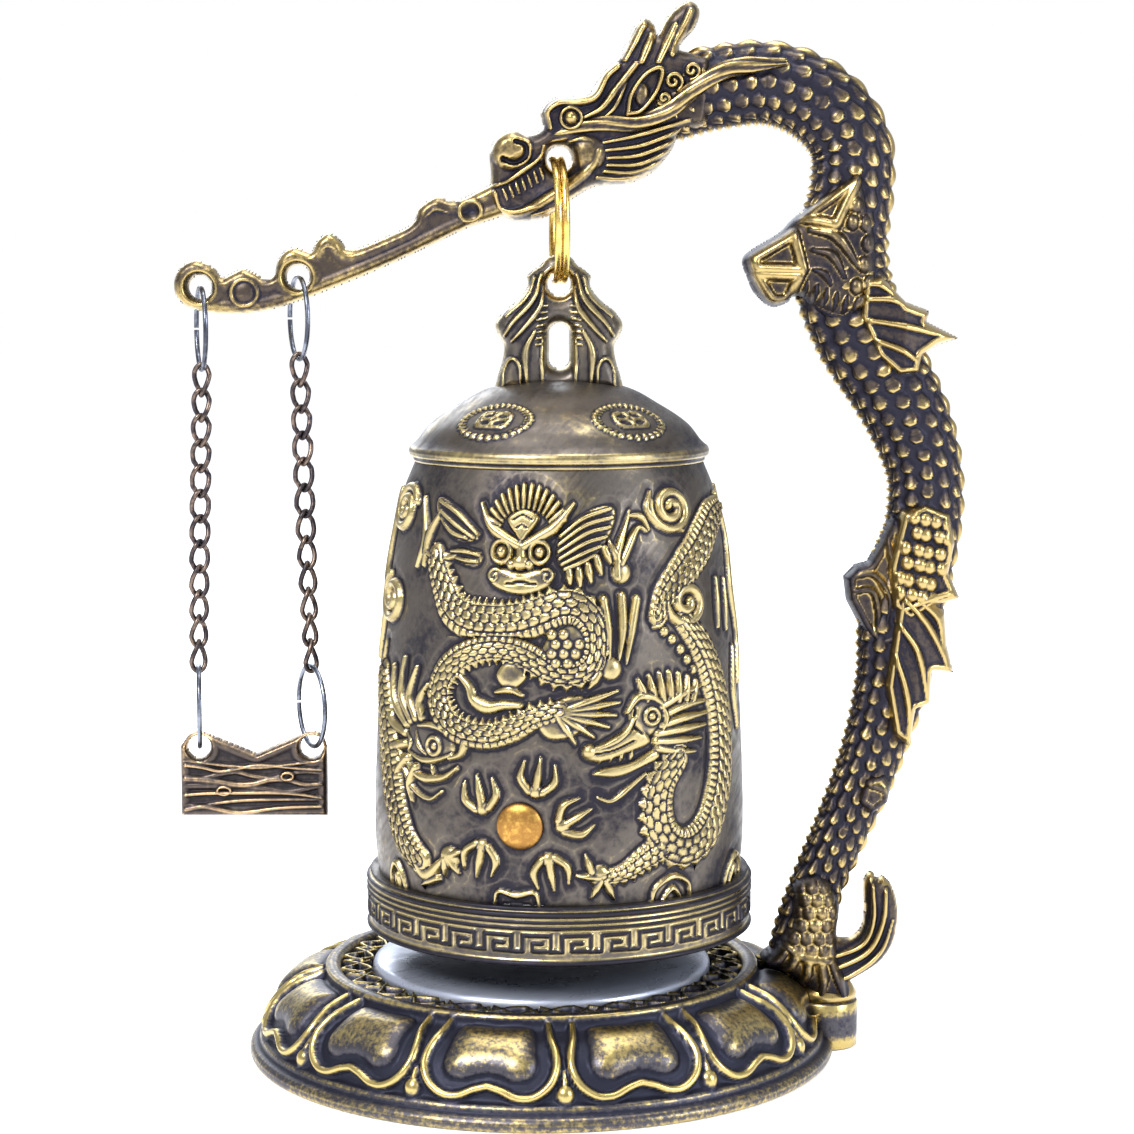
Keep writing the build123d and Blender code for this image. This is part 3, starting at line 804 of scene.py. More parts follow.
# %% A part from the lathe
def lathe(profile, centre, steps):
    """Spin (radius, height) points round a vertical axis: a ring, or a solid with two poles."""
    build = bmesh.new()
    ring = [build.verts.new(((centre + r) * MM, 0, z * MM)) for r, z in profile]
    edges = [build.edges.new(pair) for pair in zip(ring, ring[1:])]
    if profile[0][0] > 0:
        edges.append(build.edges.new((ring[-1], ring[0])))
    bmesh.ops.spin(
        build, geom=ring + edges, cent=(centre * MM, 0, 0), axis=(0, 0, 1),
        angle=2 * pi, steps=steps, use_merge=True,
    )
    bmesh.ops.remove_doubles(build, verts=build.verts, dist=SAME_POINT)
    bmesh.ops.recalc_face_normals(build, faces=build.faces)
    return build


trial = lathe([(0, 0), (1, 0), (1, 1), (0, 1)], 0, 24)
print("a spun cylinder has", sum(edge.is_boundary for edge in trial.edges), "open edges")
trial.free()

# %% [markdown]
# ## The bell's relief
# The waist of the bell carries three serpents. One winds in an S across the middle, one comes down
# on the right, and one reaches in from the left for a pearl among small flames. A guardian mask
# looks out above them, and cloud scrolls fill the sides. A painted height map could hold all this,
# but strokes with a width and a height stay sharp at any size and can be moved one at a time.
# The same carving is on the far side. Places on the waist are given as (across, up): across is
# measured round the wall from the front, and up is the height above the table.


# %% Measure one figure before it is cast
BOLD = 1.25


def measure(figure):
    """Draw a figure on a coarse sheet of the wall, and print its height and the share it covers."""
    across, up = np.meshgrid(np.arange(-38, 38, 0.5), np.arange(25, 80, 0.5))
    sheet = Relief(np.column_stack([across.ravel(), up.ravel()]), BOLD)
    figure(sheet)
    covered = round(100 * (sheet.rise > 0).mean())
    print(figure.__name__, "rises", sheet.rise.max().round(2), "mm and covers", covered, "percent")


# %% The mask: crest, brow plate, eyes, muzzle and ears
def mask(relief):
    """A small guardian face: a crest of hair, a brow plate, round eyes and a broad muzzle."""
    for share in np.linspace(0, 1, 14):
        turn = radians(168 - 156 * share)
        inner = (-4.9 + 3.9 * cos(turn), 72.6 + 2.9 * sin(turn))
        outer = (-4.8 + 5.9 * cos(turn), 72.9 + 5.4 * sin(turn))
        relief.stroke([inner, outer], 0.66, 0.85, ends=(0.6, 1.0), smooth=False)
    relief.plate([(-7.6, 74.0), (-5.2, 75.3), (-2.8, 74.2), (-4.4, 72.0), (-5.3, 70.9), (-6.2, 72.0)],
                 0.85, 0.5)
    relief.groove([(-6.6, 73.9), (-5.3, 74.5), (-3.9, 74.0)], 0.35, 0.35)
    relief.groove([(-6.1, 72.9), (-5.3, 73.3), (-4.5, 72.9)], 0.35, 0.35)
    relief.stroke([(-5.5, 70.6), (-8.2, 71.9), (-10.2, 73.2), (-11.9, 75.8)], 1.35, 1.15, ends=(0.9, 0.4))
    relief.stroke([(-5.0, 70.6), (-2.6, 71.9), (-0.4, 73.2), (2.3, 76.0)], 1.35, 1.15, ends=(0.9, 0.4))
    for eye_x in (-8.2, -2.7):
        relief.ring((eye_x, 69.9), 1.35, 0.60, 0.95)
        relief.ball((eye_x, 69.9), 0.80, 1.1)
    relief.stroke([(-5.4, 71.0), (-5.3, 69.4)], 1.3, 1.1, ends=(0.7, 1.0), smooth=False)
    relief.ball((-5.4, 68.6), 1.35, 1.3, squash=0.75)
    relief.ball((-6.7, 68.3), 0.7, 1.1)
    relief.ball((-4.1, 68.3), 0.7, 1.1)
    relief.plate([(-10.2, 67.2), (-8.0, 67.9), (-5.3, 67.4), (-2.6, 67.9), (-0.4, 67.3),
                  (-1.6, 65.5), (-5.2, 64.5), (-9.0, 65.4)], 0.75, 0.7)
    relief.spiral((-9.0, 66.8), 1.0, 1.2, 0.45, 1.0, start=0.6)
    relief.spiral((-1.6, 66.9), 1.0, -1.2, 0.45, 1.0, start=2.5)
    relief.stroke([(-8.4, 67.3), (-5.3, 66.6), (-2.2, 67.3)], 0.55, 1.05)
    relief.groove([(-7.2, 65.9), (-5.2, 66.1), (-3.2, 65.9)], 0.45, 0.5)


def ears(relief):
    """A forked ear on the left and a leaf-shaped one on the right, both ribbed."""
    for outline in (
        [(-12.1, 71.6), (-15.6, 74.6), (-20.2, 76.4), (-20.9, 75.0), (-18.6, 72.6), (-15.2, 70.9)],
        [(-11.4, 69.4), (-15.0, 70.2), (-16.8, 69.4), (-14.8, 68.2), (-12.0, 67.9)],
        [(-0.4, 70.4), (1.4, 73.0), (4.6, 75.1), (8.0, 75.7), (8.6, 74.2), (7.0, 71.2),
         (4.4, 68.9), (0.5, 67.9)],
    ):
        relief.plate(outline, 0.30, 0.6)
    for rib in (
        [(-12.2, 72.0), (-16.0, 74.4), (-20.0, 75.8)], [(-12.8, 71.5), (-16.4, 73.1), (-19.6, 74.6)],
        [(-14.0, 71.4), (-16.4, 71.9), (-18.4, 73.0)], [(-11.8, 69.4), (-14.4, 69.7), (-16.4, 69.6)],
        [(-11.9, 68.5), (-13.8, 68.6), (-15.4, 68.8)],
        [(0.2, 71.9), (3.6, 74.1), (7.9, 75.3)], [(0.0, 70.9), (3.8, 73.2), (8.1, 74.2)],
        [(0.0, 70.0), (4.0, 72.2), (7.6, 73.0)], [(0.1, 69.1), (3.8, 71.0), (7.0, 71.8)],
        [(0.4, 68.4), (3.6, 69.8), (6.0, 70.6)], [(0.8, 67.8), (3.0, 68.6), (5.0, 69.5)],
    ):
        relief.stroke(rib, 0.62, 0.95, ends=(0.8, 0.6))
    for tip in ([(1.4, 67.6), (1.6, 66.0)], [(2.8, 67.7), (3.0, 65.8)], [(4.1, 68.3), (4.5, 66.2)],
                [(5.4, 69.2), (6.0, 67.2)], [(6.6, 70.3), (7.4, 68.6)]):
        relief.stroke(tip, 1.0, 0.85, ends=(0.9, 0.5), smooth=False)


measure(mask)
measure(ears)


# %% The clouds on both sides
def cloud_scrolls(relief):
    """Curled clouds, loose strokes and a row of shrinking dots."""
    relief.spiral((18.5, 75.0), 3.0, 1.9, 1.15, 0.9, start=2.8, squash=1.35)
    relief.stroke([(15.0, 77.2), (13.9, 75.0), (16.2, 72.8), (20.4, 72.0)], 1.0, 0.8)
    relief.spiral((19.6, 62.9), 3.4, 1.8, 1.2, 0.9, start=1.2, squash=1.3)
    relief.spiral((-30.0, 74.2), 3.2, 1.9, 1.15, 0.9, start=0.4, squash=1.3)
    relief.spiral((-30.5, 62.5), 3.3, 1.8, 1.15, 0.9, start=2.0, squash=1.3)
    for line in (
        [(-36.5, 76.5), (-34.6, 72.0), (-35.4, 66.0), (-34.0, 60.0), (-35.8, 54.0)],
        [(33.8, 76.0), (35.4, 70.0), (33.6, 64.0), (34.9, 57.5), (33.4, 51.0)],
    ):
        relief.stroke(line, 1.3, 0.8, ends=(0.5, 0.5))
    for line in (
        [(30.7, 65.0), (29.8, 58.4)],
        [(27.6, 65.4), (27.0, 59.0)],
        [(32.0, 56.0), (30.9, 50.5), (32.2, 45.0)],
        [(-31.5, 56.8), (-32.4, 51.5), (-31.0, 46.5)],
    ):
        relief.stroke(line, 0.9, 0.6, smooth=len(line) > 2)
    for dot_x, dot_z in ((15.3, 59.5), (16.6, 58.4), (18.0, 57.0), (19.1, 55.6), (20.1, 54.2)):
        relief.ball((dot_x, dot_z), 0.65, 0.6)


measure(cloud_scrolls)


# %% The serpent in the middle
def claw(relief, palm, fingers, spread):
    """A round palm with pointed fingers."""
    relief.ball(palm, 1.5, 0.9)
    for finger in fingers:
        relief.stroke(finger, spread, 0.95, ends=(1.0, 0.2))


def upper_serpent(relief):
    """The serpent in the middle, wound in an S, with a forked tail."""
    relief.body(
        [(-19.4, 68.9), (-18.4, 66.6), (-17.2, 64.6), (-15.6, 62.2), (-12.6, 60.9),
         (-9.0, 60.7), (-5.5, 61.0), (-2.5, 61.9), (0.2, 62.9), (2.6, 62.7), (4.4, 60.8), (4.8, 58.4),
         (4.1, 56.0), (1.9, 54.8), (-1.0, 55.2), (-3.9, 56.9), (-6.9, 57.8), (-10.5, 57.7), (-14.2, 56.2),
         (-16.6, 53.7), (-17.2, 50.7), (-15.6, 48.0), (-12.9, 46.7), (-9.3, 46.4), (-6.0, 47.4),
         (-3.1, 49.0), (0.2, 49.9)],
        [3.2, 4.2, 4.9, 4.9, 4.4, 3.4, 3.0, 3.2, 3.0, 3.4, 3.6, 3.2, 3.0, 2.4], 1.30, pitch=1.5, lanes=3,
    )
    relief.plate([(-3.0, 49.4), (-0.3, 51.4), (3.0, 51.9), (4.6, 50.2), (4.2, 48.4), (1.4, 46.6),
                  (-1.6, 46.6)], 0.6, 0.7)
    for tip in ((7.9, 52.4), (8.1, 50.9), (7.6, 49.3), (6.6, 47.8), (4.6, 46.6), (2.2, 45.8)):
        relief.stroke([(-0.4, 49.7), ((tip[0] - 0.4) / 2, (tip[1] + 49.9) / 2), tip], 1.0, 1.0,
                      ends=(0.9, 0.3))
    relief.plate([(-2.2, 57.6), (-0.4, 60.3), (2.2, 60.7), (3.8, 58.8), (3.0, 56.4), (0.2, 55.7)],
                 0.85, 1.2)
    for row, count in enumerate((2, 3, 3, 2)):
        for column in range(count):
            relief.ball((-0.9 + 1.55 * column + 0.5 * (row % 2), 59.6 - 1.2 * row), 0.85, 1.35)
    relief.plate([(-8.4, 54.6), (-6.9, 56.2), (-5.2, 55.9), (-4.2, 54.2), (-5.6, 52.8), (-7.6, 53.0)],
                 0.8, 1.0)
    claw(relief, (7.0, 55.2), ([(6.2, 63.9), (6.7, 60.3), (6.9, 56.4)],
                               [(8.8, 64.3), (8.8, 60.2), (8.2, 56.3)],
                               [(11.0, 63.8), (10.1, 60.2), (9.2, 55.8)], [(5.2, 54.6), (4.0, 52.8)]), 1.1)
    claw(relief, (8.9, 67.3), ([(8.3, 66.6), (8.6, 70.0), (10.9, 75.0)],
                               [(8.9, 68.3), (11.8, 72.6), (13.6, 72.2)], [(8.5, 68.6), (7.3, 71.4)]), 1.0)
    relief.stroke([(10.7, 74.4), (12.8, 74.1), (13.9, 72.5)], 0.8, 0.7)
    for arm in ([(-24.2, 76.0), (-22.2, 71.4), (-23.5, 67.2)],
                [(-21.9, 67.5), (-21.4, 71.4), (-19.4, 74.6)]):
        relief.stroke(arm, 1.1, 0.8)
    relief.stroke([(-21.6, 69.1), (-18.8, 68.5), (-15.6, 69.0)], 1.0, 0.75)


measure(upper_serpent)


# %% The serpent on the right
def right_serpent(relief):
    """The serpent that comes down on the right and turns its head under the first one's tail."""
    relief.body(
        [(33.4, 74.5), (28.2, 73.2), (23.6, 70.2), (19.2, 67.2), (15.6, 64.4), (14.0, 61.5)],
        [2.8, 4.4, 5.0, 4.6, 3.6, 2.4], 1.3, pitch=1.6, lanes=3,
    )
    relief.body(
        [(18.4, 60.6), (21.6, 57.0), (24.0, 52.6), (25.3, 47.3), (25.2, 41.2), (23.4, 36.0),
         (20.8, 32.7), (17.4, 31.6), (14.5, 33.2), (13.4, 36.4), (14.0, 40.0), (16.6, 43.1)],
        [2.6, 3.8, 4.6, 5.0, 5.2, 5.2, 5.0, 4.8, 4.6, 4.2, 3.4], 1.3, pitch=1.6, lanes=3,
    )
    for share in np.linspace(0, 1, 7):
        root = (11.9 + 7.6 * share, 51.0 - 0.6 * share)
        tip = (10.8 + 9.6 * share, 53.6 + 1.1 * sin(pi * share) - 0.9 * share)
        relief.stroke([root, tip], 1.0, 0.95, ends=(0.9, 0.5), smooth=False)
    relief.plate([(9.2, 48.6), (10.4, 51.3), (12.6, 52.0), (14.2, 50.4), (14.6, 48.4), (12.8, 46.6),
                  (10.6, 46.2)], 0.65, 1.3)
    relief.plate([(10.8, 47.6), (8.6, 46.9), (6.2, 45.6), (3.6, 45.4), (3.2, 44.0), (5.4, 43.4),
                  (9.0, 44.4), (12.2, 45.6)],
                 0.95, 0.8)
    relief.plate([(12.6, 44.6), (9.4, 43.2), (5.6, 42.6), (4.4, 41.8), (7.6, 41.4), (11.4, 42.6),
                  (13.6, 43.6)], 0.8, 0.6)
    for tooth in (5.4, 6.8, 8.2, 9.6):
        relief.stroke([(tooth, 43.7 + 0.1 * tooth), (tooth - 0.2, 42.9 + 0.08 * tooth)], 0.45,
                      0.9, smooth=False)
    for strand in (
        [(14.0, 50.0), (17.6, 51.3), (21.2, 52.0)], [(14.4, 48.9), (18.0, 49.8), (22.0, 50.0)],
        [(14.0, 47.6), (17.8, 48.2), (22.2, 48.4)], [(13.4, 46.6), (17.2, 46.8), (21.8, 46.9)],
        [(13.2, 45.6), (16.6, 45.4), (20.8, 45.3)], [(13.4, 44.7), (16.4, 44.0), (19.6, 43.7)],
    ):
        relief.stroke(strand, 1.05, 0.95, ends=(1, 0.4))
    relief.stroke([(9.0, 49.6), (10.6, 51.4), (12.8, 51.2), (14.6, 49.9)], 1.1, 1.2)
    relief.ring((12.4, 48.9), 1.0, 0.55, 1.25)
    relief.ball((12.4, 48.9), 0.65, 1.4)
    relief.stroke([(13.8, 50.6), (14.6, 48.6), (13.8, 46.6)], 0.9, 1.2)
    relief.groove([(10.2, 49.9), (9.9, 48.0), (10.9, 46.9)], 0.5, 0.5)
    relief.groove([(4.4, 44.5), (7.0, 44.9), (9.8, 46.0)], 0.4, 0.4)
    relief.stroke([(4.0, 45.0), (6.2, 45.6), (8.6, 46.9), (10.0, 48.8)], 1.0, 1.15)
    relief.ball((3.9, 44.8), 1.0, 1.25)
    relief.stroke([(11.6, 41.6), (9.1, 39.9), (6.8, 38.4), (5.0, 38.9)], 0.7, 0.6)
    relief.body([(14.4, 32.6), (11.6, 31.0), (8.4, 29.2), (5.6, 28.7)], [3.4, 3.0, 2.2, 1.6], 1.15,
                pitch=1.3, lanes=2)
    claw(relief, (5.2, 28.8), ([(4.2, 29.4), (3.4, 31.6)], [(5.2, 28.6), (2.2, 28.9)],
                               [(5.4, 28.2), (4.2, 25.9)], [(6.0, 28.0), (7.3, 25.6)]), 0.9)


measure(right_serpent)


# %% The serpent on the left
def left_serpent(relief):
    """The serpent on the left that reaches for the pearl."""
    relief.body(
        [(-31.5, 52.6), (-29.4, 47.0), (-27.2, 41.0), (-25.4, 36.2), (-22.9, 31.9), (-19.7, 29.4)],
        [3.4, 4.6, 5.0, 4.8, 4.2, 3.2], 1.3, pitch=1.6, lanes=3, belly=1,
    )
    relief.stroke([(-21.8, 31.0), (-19.0, 27.6), (-15.6, 30.2)], 1.7, 1.0)
    claw(relief, (-14.8, 30.4), ([(-14.4, 30.8), (-12.6, 31.6)], [(-14.6, 30.2), (-13.4, 28.4)],
                                 [(-15.4, 30.2), (-15.6, 27.8)], [(-16.8, 27.4), (-20.0, 26.0)]), 0.9)
    relief.plate([(-22.6, 46.4), (-20.4, 47.6), (-17.4, 46.8), (-15.2, 46.0), (-14.2, 44.6), (-15.2, 43.0),
                  (-18.2, 42.0), (-21.4, 42.4), (-22.8, 44.2)], 0.5, 1.4)
    relief.stroke([(-22.4, 43.4), (-19.4, 42.6), (-16.6, 43.0), (-14.6, 43.8)], 0.9, 1.0)
    relief.stroke([(-20.8, 46.2), (-20.2, 44.4), (-18.8, 43.4)], 0.9, 0.95)
    relief.stroke([(-22.6, 45.6), (-21.8, 44.6), (-22.4, 43.4)], 0.8, 0.9)
    relief.ring((-17.4, 44.6), 1.1, 0.65, 1.0)
    relief.ball((-17.4, 44.6), 0.65, 1.0)
    relief.stroke([(-15.0, 43.2), (-13.2, 44.0), (-12.8, 45.8), (-14.4, 47.0)], 1.0, 0.9)
    relief.stroke([(-24.0, 42.6), (-20.2, 40.4), (-16.2, 40.6), (-13.9, 42.0)], 1.1, 0.85)
    relief.stroke([(-20.6, 46.9), (-17.6, 47.2), (-15.2, 46.2)], 0.9, 0.85)
    for strand in (
        [(-23.2, 46.8), (-26.8, 49.6), (-27.6, 54.0)], [(-22.2, 47.4), (-24.8, 50.6), (-24.6, 55.4)],
        [(-21.2, 47.8), (-22.8, 50.6), (-21.6, 54.4)], [(-20.0, 48.0), (-20.6, 50.2), (-19.2, 52.4)],
        [(-23.4, 45.6), (-27.0, 46.6), (-29.4, 49.6)], [(-23.4, 44.2), (-26.4, 43.6), (-28.2, 44.6)],
        [(-22.8, 42.4), (-25.0, 40.4), (-25.6, 37.8)], [(-21.0, 41.4), (-22.2, 39.2), (-21.6, 37.0)],
    ):
        relief.stroke(strand, 1.05, 0.9, ends=(1, 0.35))
    relief.stroke([(-25.8, 44.2), (-22.4, 39.4), (-18.6, 37.6), (-16.2, 38.8)], 0.7, 0.6)
    relief.stroke([(-18.0, 42.2), (-17.5, 40.6)], 0.6, 0.6, smooth=False)
    relief.stroke([(-13.6, 53.9), (-12.2, 52.6), (-11.4, 51.0), (-9.4, 50.2), (-7.2, 50.6), (-5.0, 50.6)],
                  1.6, 1.0)
    relief.stroke([(-8.4, 52.2), (-6.4, 52.6), (-4.8, 51.9)], 1.0, 0.8)


measure(left_serpent)

# %% The flames
FLAME_SIZE = 2.2


def flame(relief, centre, turn):
    """A little flame of three tongues on a curled foot."""
    c, s = cos(radians(turn)), sin(radians(turn))

    def place(x, z):
        return centre[0] + FLAME_SIZE * (c * x - s * z), centre[1] + FLAME_SIZE * (s * x + c * z)

    for tongue in (
        [(-0.9, 0.9), (-1.0, -0.1), (-0.4, -0.8)], [(0.0, 1.2), (0.0, 0.1), (0.0, -0.7)],
        [(0.9, 0.9), (1.0, -0.1), (0.4, -0.8)],
    ):
        relief.stroke([place(*point) for point in tongue], 0.42 * FLAME_SIZE, 0.85, ends=(0.25, 1))
    relief.ball(place(0, -0.75), 0.45 * FLAME_SIZE, 0.85)


print("a flame is", round(2 * FLAME_SIZE, 1), "mm tall")

# %% The whole carving
PEARL = (-5.0, 35.2)
BAND_TOP = 24.6


def carving(across, up):
    """The height of the whole carving at places on the waist."""
    relief = Relief(np.column_stack([across, up]), BOLD)
    for figure in (mask, ears, cloud_scrolls, upper_serpent, right_serpent, left_serpent):
        figure(relief)
    relief.ball(PEARL, 2.7, 0.5)
    for centre, turn in (
        ((-10.3, 38.9), 12), ((-2.7, 41.4), -8), ((1.9, 36.2), -60), ((-10.3, 30.8), 168),
        ((-1.0, 29.4), 190),
    ):
        flame(relief, centre, turn)
    for start, stop, height in ((-27.6, -23.6, 28.0), (12.6, 19.0, 27.8), (-8.5, -2.5, 26.2),
                                (27.0, 33.0, 28.4)):
        middle = (start + stop) / 2
        shoulder = BAND_TOP + 2.0
        arch = [(start, BAND_TOP), (start + 0.6, shoulder), (middle, height)]
        relief.stroke(arch + [(stop - 0.6, shoulder), (stop, BAND_TOP)], 0.8, 0.7)
        relief.stroke([(start + 1.5, BAND_TOP), (middle, height - 1.6), (stop - 1.5, BAND_TOP)], 0.7, 0.6)
    return relief.sunk()


trial = carving(np.linspace(-20, 20, 200), np.full(200, 50.0))
print("across the waist at 50 mm the carving's highest point is", trial.max().round(2), "mm")

# %% [markdown]
# ## The waist of the bell
# The real bell is one casting with a thin wall. Here its waist is made in four quarters, because
# one mesh fine enough for the carving would be too heavy to print or send. Each quarter is a carved
# skin outside and a plain wall inside, and a ring of faces joins the two all round, so each is a
# closed shell. The carving is pressed down a little, so that its crests meet the bell's outer size.

# %% The waist's profile and relief
bell_low, bell_high = node_box("bell")
BELL_X = (bell_low[0] + bell_high[0]) / 2
WAIST_RADIUS = 25.0
GROUND_DROP = 0.55
HIGHEST_CREST = 1.5
CREST_SHARE = 0.85
WAIST = smooth_line([(25.0, 24.9), (25.4, 30), (25.3, 38), (24.6, 52), (23.2, 66), (21.6, 75),
                     (19.7, 80.2)])
CARVED_CELL = 0.17


def waist_relief(angle, distance, spot):
    """The carving twice round, pressed down so that its crests meet the bell's outer size."""
    across = (np.degrees(angle) + 90) % 180 - 90
    rise = carving(np.radians(across) * WAIST_RADIUS, spot[:, 1])
    return np.minimum(rise, HIGHEST_CREST) * CREST_SHARE - GROUND_DROP


print("the bell stands at x", round(BELL_X, 2), "mm and is", round(bell_high[2] - bell_low[2], 1),
      "mm tall")


# %% The inner wall of a quarter
def line_wall(piece, centre, first, last, profile, gap_low, gap_high):
    """Close an open turned skin: a plainer inner wall joined to it all round its edge."""
    build = bmesh.new()
    build.from_mesh(piece.data)
    outer_edges = [edge for edge in build.edges if edge.is_boundary]
    for edge in outer_edges:
        edge.smooth = False
    inner = bmesh.ops.create_grid(build, x_segments=30, y_segments=36, size=0.5)["verts"]
    heights = profile[:, 1]
    for vertex in inner:
        across, up = vertex.co.x + 0.5, vertex.co.y + 0.5
        height = heights[0] + up * (heights[-1] - heights[0])
        radius = np.interp(height, heights, profile[:, 0]) - (gap_low + up * (gap_high - gap_low))
        angle = radians(first + across * (last - first))
        vertex.co = ((centre + radius * sin(angle)) * MM, -radius * cos(angle) * MM, height * MM)
    inner_faces = list({face for vertex in inner for face in vertex.link_faces})
    middle_place = inner_faces[0].calc_center_median()
    outward = middle_place - Vector((centre * MM, 0, middle_place.z))
    if inner_faces[0].normal.dot(outward) > 0:
        bmesh.ops.reverse_faces(build, faces=inner_faces)
    inner_edges = list({edge for vertex in inner for edge in vertex.link_edges if edge.is_boundary})
    bmesh.ops.bridge_loops(build, edges=outer_edges + inner_edges)
    for face in build.faces:
        face.smooth = True
    for edge in inner_edges:
        edge.smooth = False
    bmesh.ops.recalc_face_normals(build, faces=build.faces)
    open_edges = sum(edge.is_boundary for edge in build.edges)
    volume = build.calc_volume(signed=True) / MM**3
    print(piece.name, "closed:", open_edges == 0, "volume in mm3:", round(volume))
    build.to_mesh(piece.data)
    build.free()


# %% The four quarters of the waist
WALL_AT_RIM = 0.95
WALL_AT_DOME = 2.4
WAIST_PROUD = 0.34
for number, start in enumerate((-45, 45, 135, 225)):
    build = turned_skin(WAIST, BELL_X, start, start + 90, CARVED_CELL, waist_relief, WAIST_RADIUS)
    piece = finish_piece(
        f"bell_waist_{number + 1}", build, "bell", "bell_brass", bell_finish,
        replaces=() if number else ("bell",), reach=(2, 10), gain=(9.0, 4.5),
        base=0.38 + WAIST_PROUD * GROUND_DROP, proud=WAIST_PROUD,
    )
    line_wall(piece, BELL_X, start, start + 90, WAIST, WALL_AT_RIM, WALL_AT_DOME)

# %% [markdown]
# ## The pearl
# The serpents chase a pearl that has been rubbed down to warm orange metal. It is a flattened ball
# let into the wall. A ball with its poles facing in and out wraps onto the wall most easily.

# %% The pearl among the flames, front and back
PEARL_HALF = 3.0
PEARL_RISE = 0.95
for name, turned in (("front", 0.0), ("back", pi)):
    build = bmesh.new()
    bmesh.ops.create_uvsphere(build, u_segments=64, v_segments=40, radius=1.0)
    pearl_angle = PEARL[0] / WAIST_RADIUS + turned
    pearl_radius = np.interp(PEARL[1], WAIST[:, 1], WAIST[:, 0]) - GROUND_DROP
    for vertex in build.verts:
        side, up = PEARL_HALF * vertex.co.x, PEARL_HALF * vertex.co.y
        reach = pearl_radius + PEARL_RISE * vertex.co.z
        vertex.co = (
            (BELL_X + reach * sin(pearl_angle) + side * cos(pearl_angle)) * MM,
            (-reach * cos(pearl_angle) + side * sin(pearl_angle)) * MM,
            (PEARL[1] + up) * MM,
        )
    bmesh.ops.recalc_face_normals(build, faces=build.faces)
    finish_piece(f"bell_pearl_{name}", build, "bell", "bell_brass", pearl_finish, base=0.56,
                 gain=(1.0, 0.5))

# %% [markdown]
# ## The rim of the bell
# Under the carving runs a band of square keys between fine beads. It is a turned skin on a closed
# profile, so it is one watertight ring. The key is drawn once, and the angle round the bell is
# folded into its width, which repeats it with no gap at the join.


# %% The key band
RIM = np.array([(24.1, 24.9), (24.1, 17.3), (26.05, 17.3), (26.05, 24.2), (25.7, 24.9), (24.1, 24.9)])
RIM_RADIUS = 26.05
KEY_LOW = 19.0
KEY_HIGH = 21.7
KEYS = 32
BAND_DROP = 0.45


def key_band(angle, distance, spot):
    """Two beads above and one below a row of square keys."""
    outside = spot[:, 0] > 25.6
    up = spot[:, 1]
    rise = np.full(len(up), -BAND_DROP)
    for height, width in ((17.75, 0.8), (22.35, 0.55), (23.1, 0.55), (24.0, 0.9)):
        bead = np.clip(1 - ((up - height) / (width / 2)) ** 2, 0, 1) ** 0.6
        rise = np.maximum(rise, -BAND_DROP + 0.5 * bead)
    pitch = 2 * pi * RIM_RADIUS / KEYS
    along = (angle * RIM_RADIUS) % pitch
    relief = Relief(np.column_stack([along, up]))
    low, high, line = KEY_LOW + 0.3, KEY_HIGH - 0.3, 0.62
    key = [(0, low), (0.45, low), (0.45, high), (pitch - 1.0, high), (pitch - 1.0, low + 0.1),
           (1.75, low + 0.1), (1.75, high - 1.05), (pitch - 2.1, high - 1.05)]
    relief.stroke(key, line, 0.42, ends=(1, 1), smooth=False)
    relief.stroke([(pitch - 1.0, low), (pitch, low)], line, 0.42, ends=(1, 1), smooth=False)
    return np.where(outside, np.maximum(rise, relief.rise - BAND_DROP), 0.0)


build = turned_skin(RIM, BELL_X, 0, 360, 0.185, key_band, 22.0)
finish_piece("bell_rim", build, "bell", "bell_brass", bell_finish, base=0.40, gain=(4.0, 1.8))

# %% [markdown]
# ## The dome
# Over a fine bead rises a smooth dome with round medallions. Each holds an endless knot in a wreath
# of leaves. The profile starts and ends on the axis, so the dome closes by itself at two poles.

# %% The dome's profile
DOME = np.vstack([
    [(0, 88.9)], smooth_line([(8.2, 87.3), (12.4, 85.3), (15.2, 83.3), (17.2, 80.0)]),
    [(19.45, 80.0), (19.45, 80.5), (19.9, 80.75), (20.05, 81.3), (19.9, 81.85), (19.3, 82.3)],
    smooth_line([(18.9, 82.7), (17.0, 85.0), (13.4, 87.4), (8.6, 89.8), (0, 91.2)]),
])
KNOT_ANGLES = (-32, 36, 148, 216)
KNOT_CENTRE = 86.0
KNOT_RADIUS = 15.2
KNOT_STRETCH = 0.92
OUTSIDE_FROM = 26
steps = lengths_along(DOME)
outer_steps = steps > OUTSIDE_FROM
KNOT_ALONG = float(np.interp(KNOT_CENTRE, DOME[outer_steps][:, 1], steps[outer_steps]))
print("the knots lie", round(KNOT_ALONG, 1), "mm along a profile of", round(steps[-1], 1), "mm")


# %% The dome with its wreathed knots
def wreathed_knots(angle, distance, spot):
    """A ring of leaves round an endless knot, four times round the dome."""
    rise = np.zeros(len(angle))
    outer = distance > OUTSIDE_FROM
    for knot_angle in KNOT_ANGLES:
        turn = (angle - radians(knot_angle) + pi) % (2 * pi) - pi
        which = np.flatnonzero(outer & (np.abs(turn) < 0.7))
        across = turn[which] * KNOT_RADIUS
        along = (distance[which] - KNOT_ALONG) / KNOT_STRETCH
        relief = Relief(np.column_stack([across, along]))
        for leaf in np.linspace(0, 2 * pi, 30, endpoint=False):
            x, z = 5.0 * cos(leaf), 3.6 * sin(leaf)
            relief.ball((x, z), 0.42, 0.32)
            relief.ball((0.88 * x, 0.88 * z), 0.22, 0.22)
        for loop in range(4):
            corner = loop * pi / 2 + pi / 4
            relief.ring((1.6 * cos(corner), 1.2 * sin(corner)), 1.05, 0.5, 0.3, squash=0.8)
        relief.ring((0, 0), 2.3, 0.45, 0.28, squash=0.72)
        rise[which] = np.maximum(rise[which], relief.rise)
    return rise


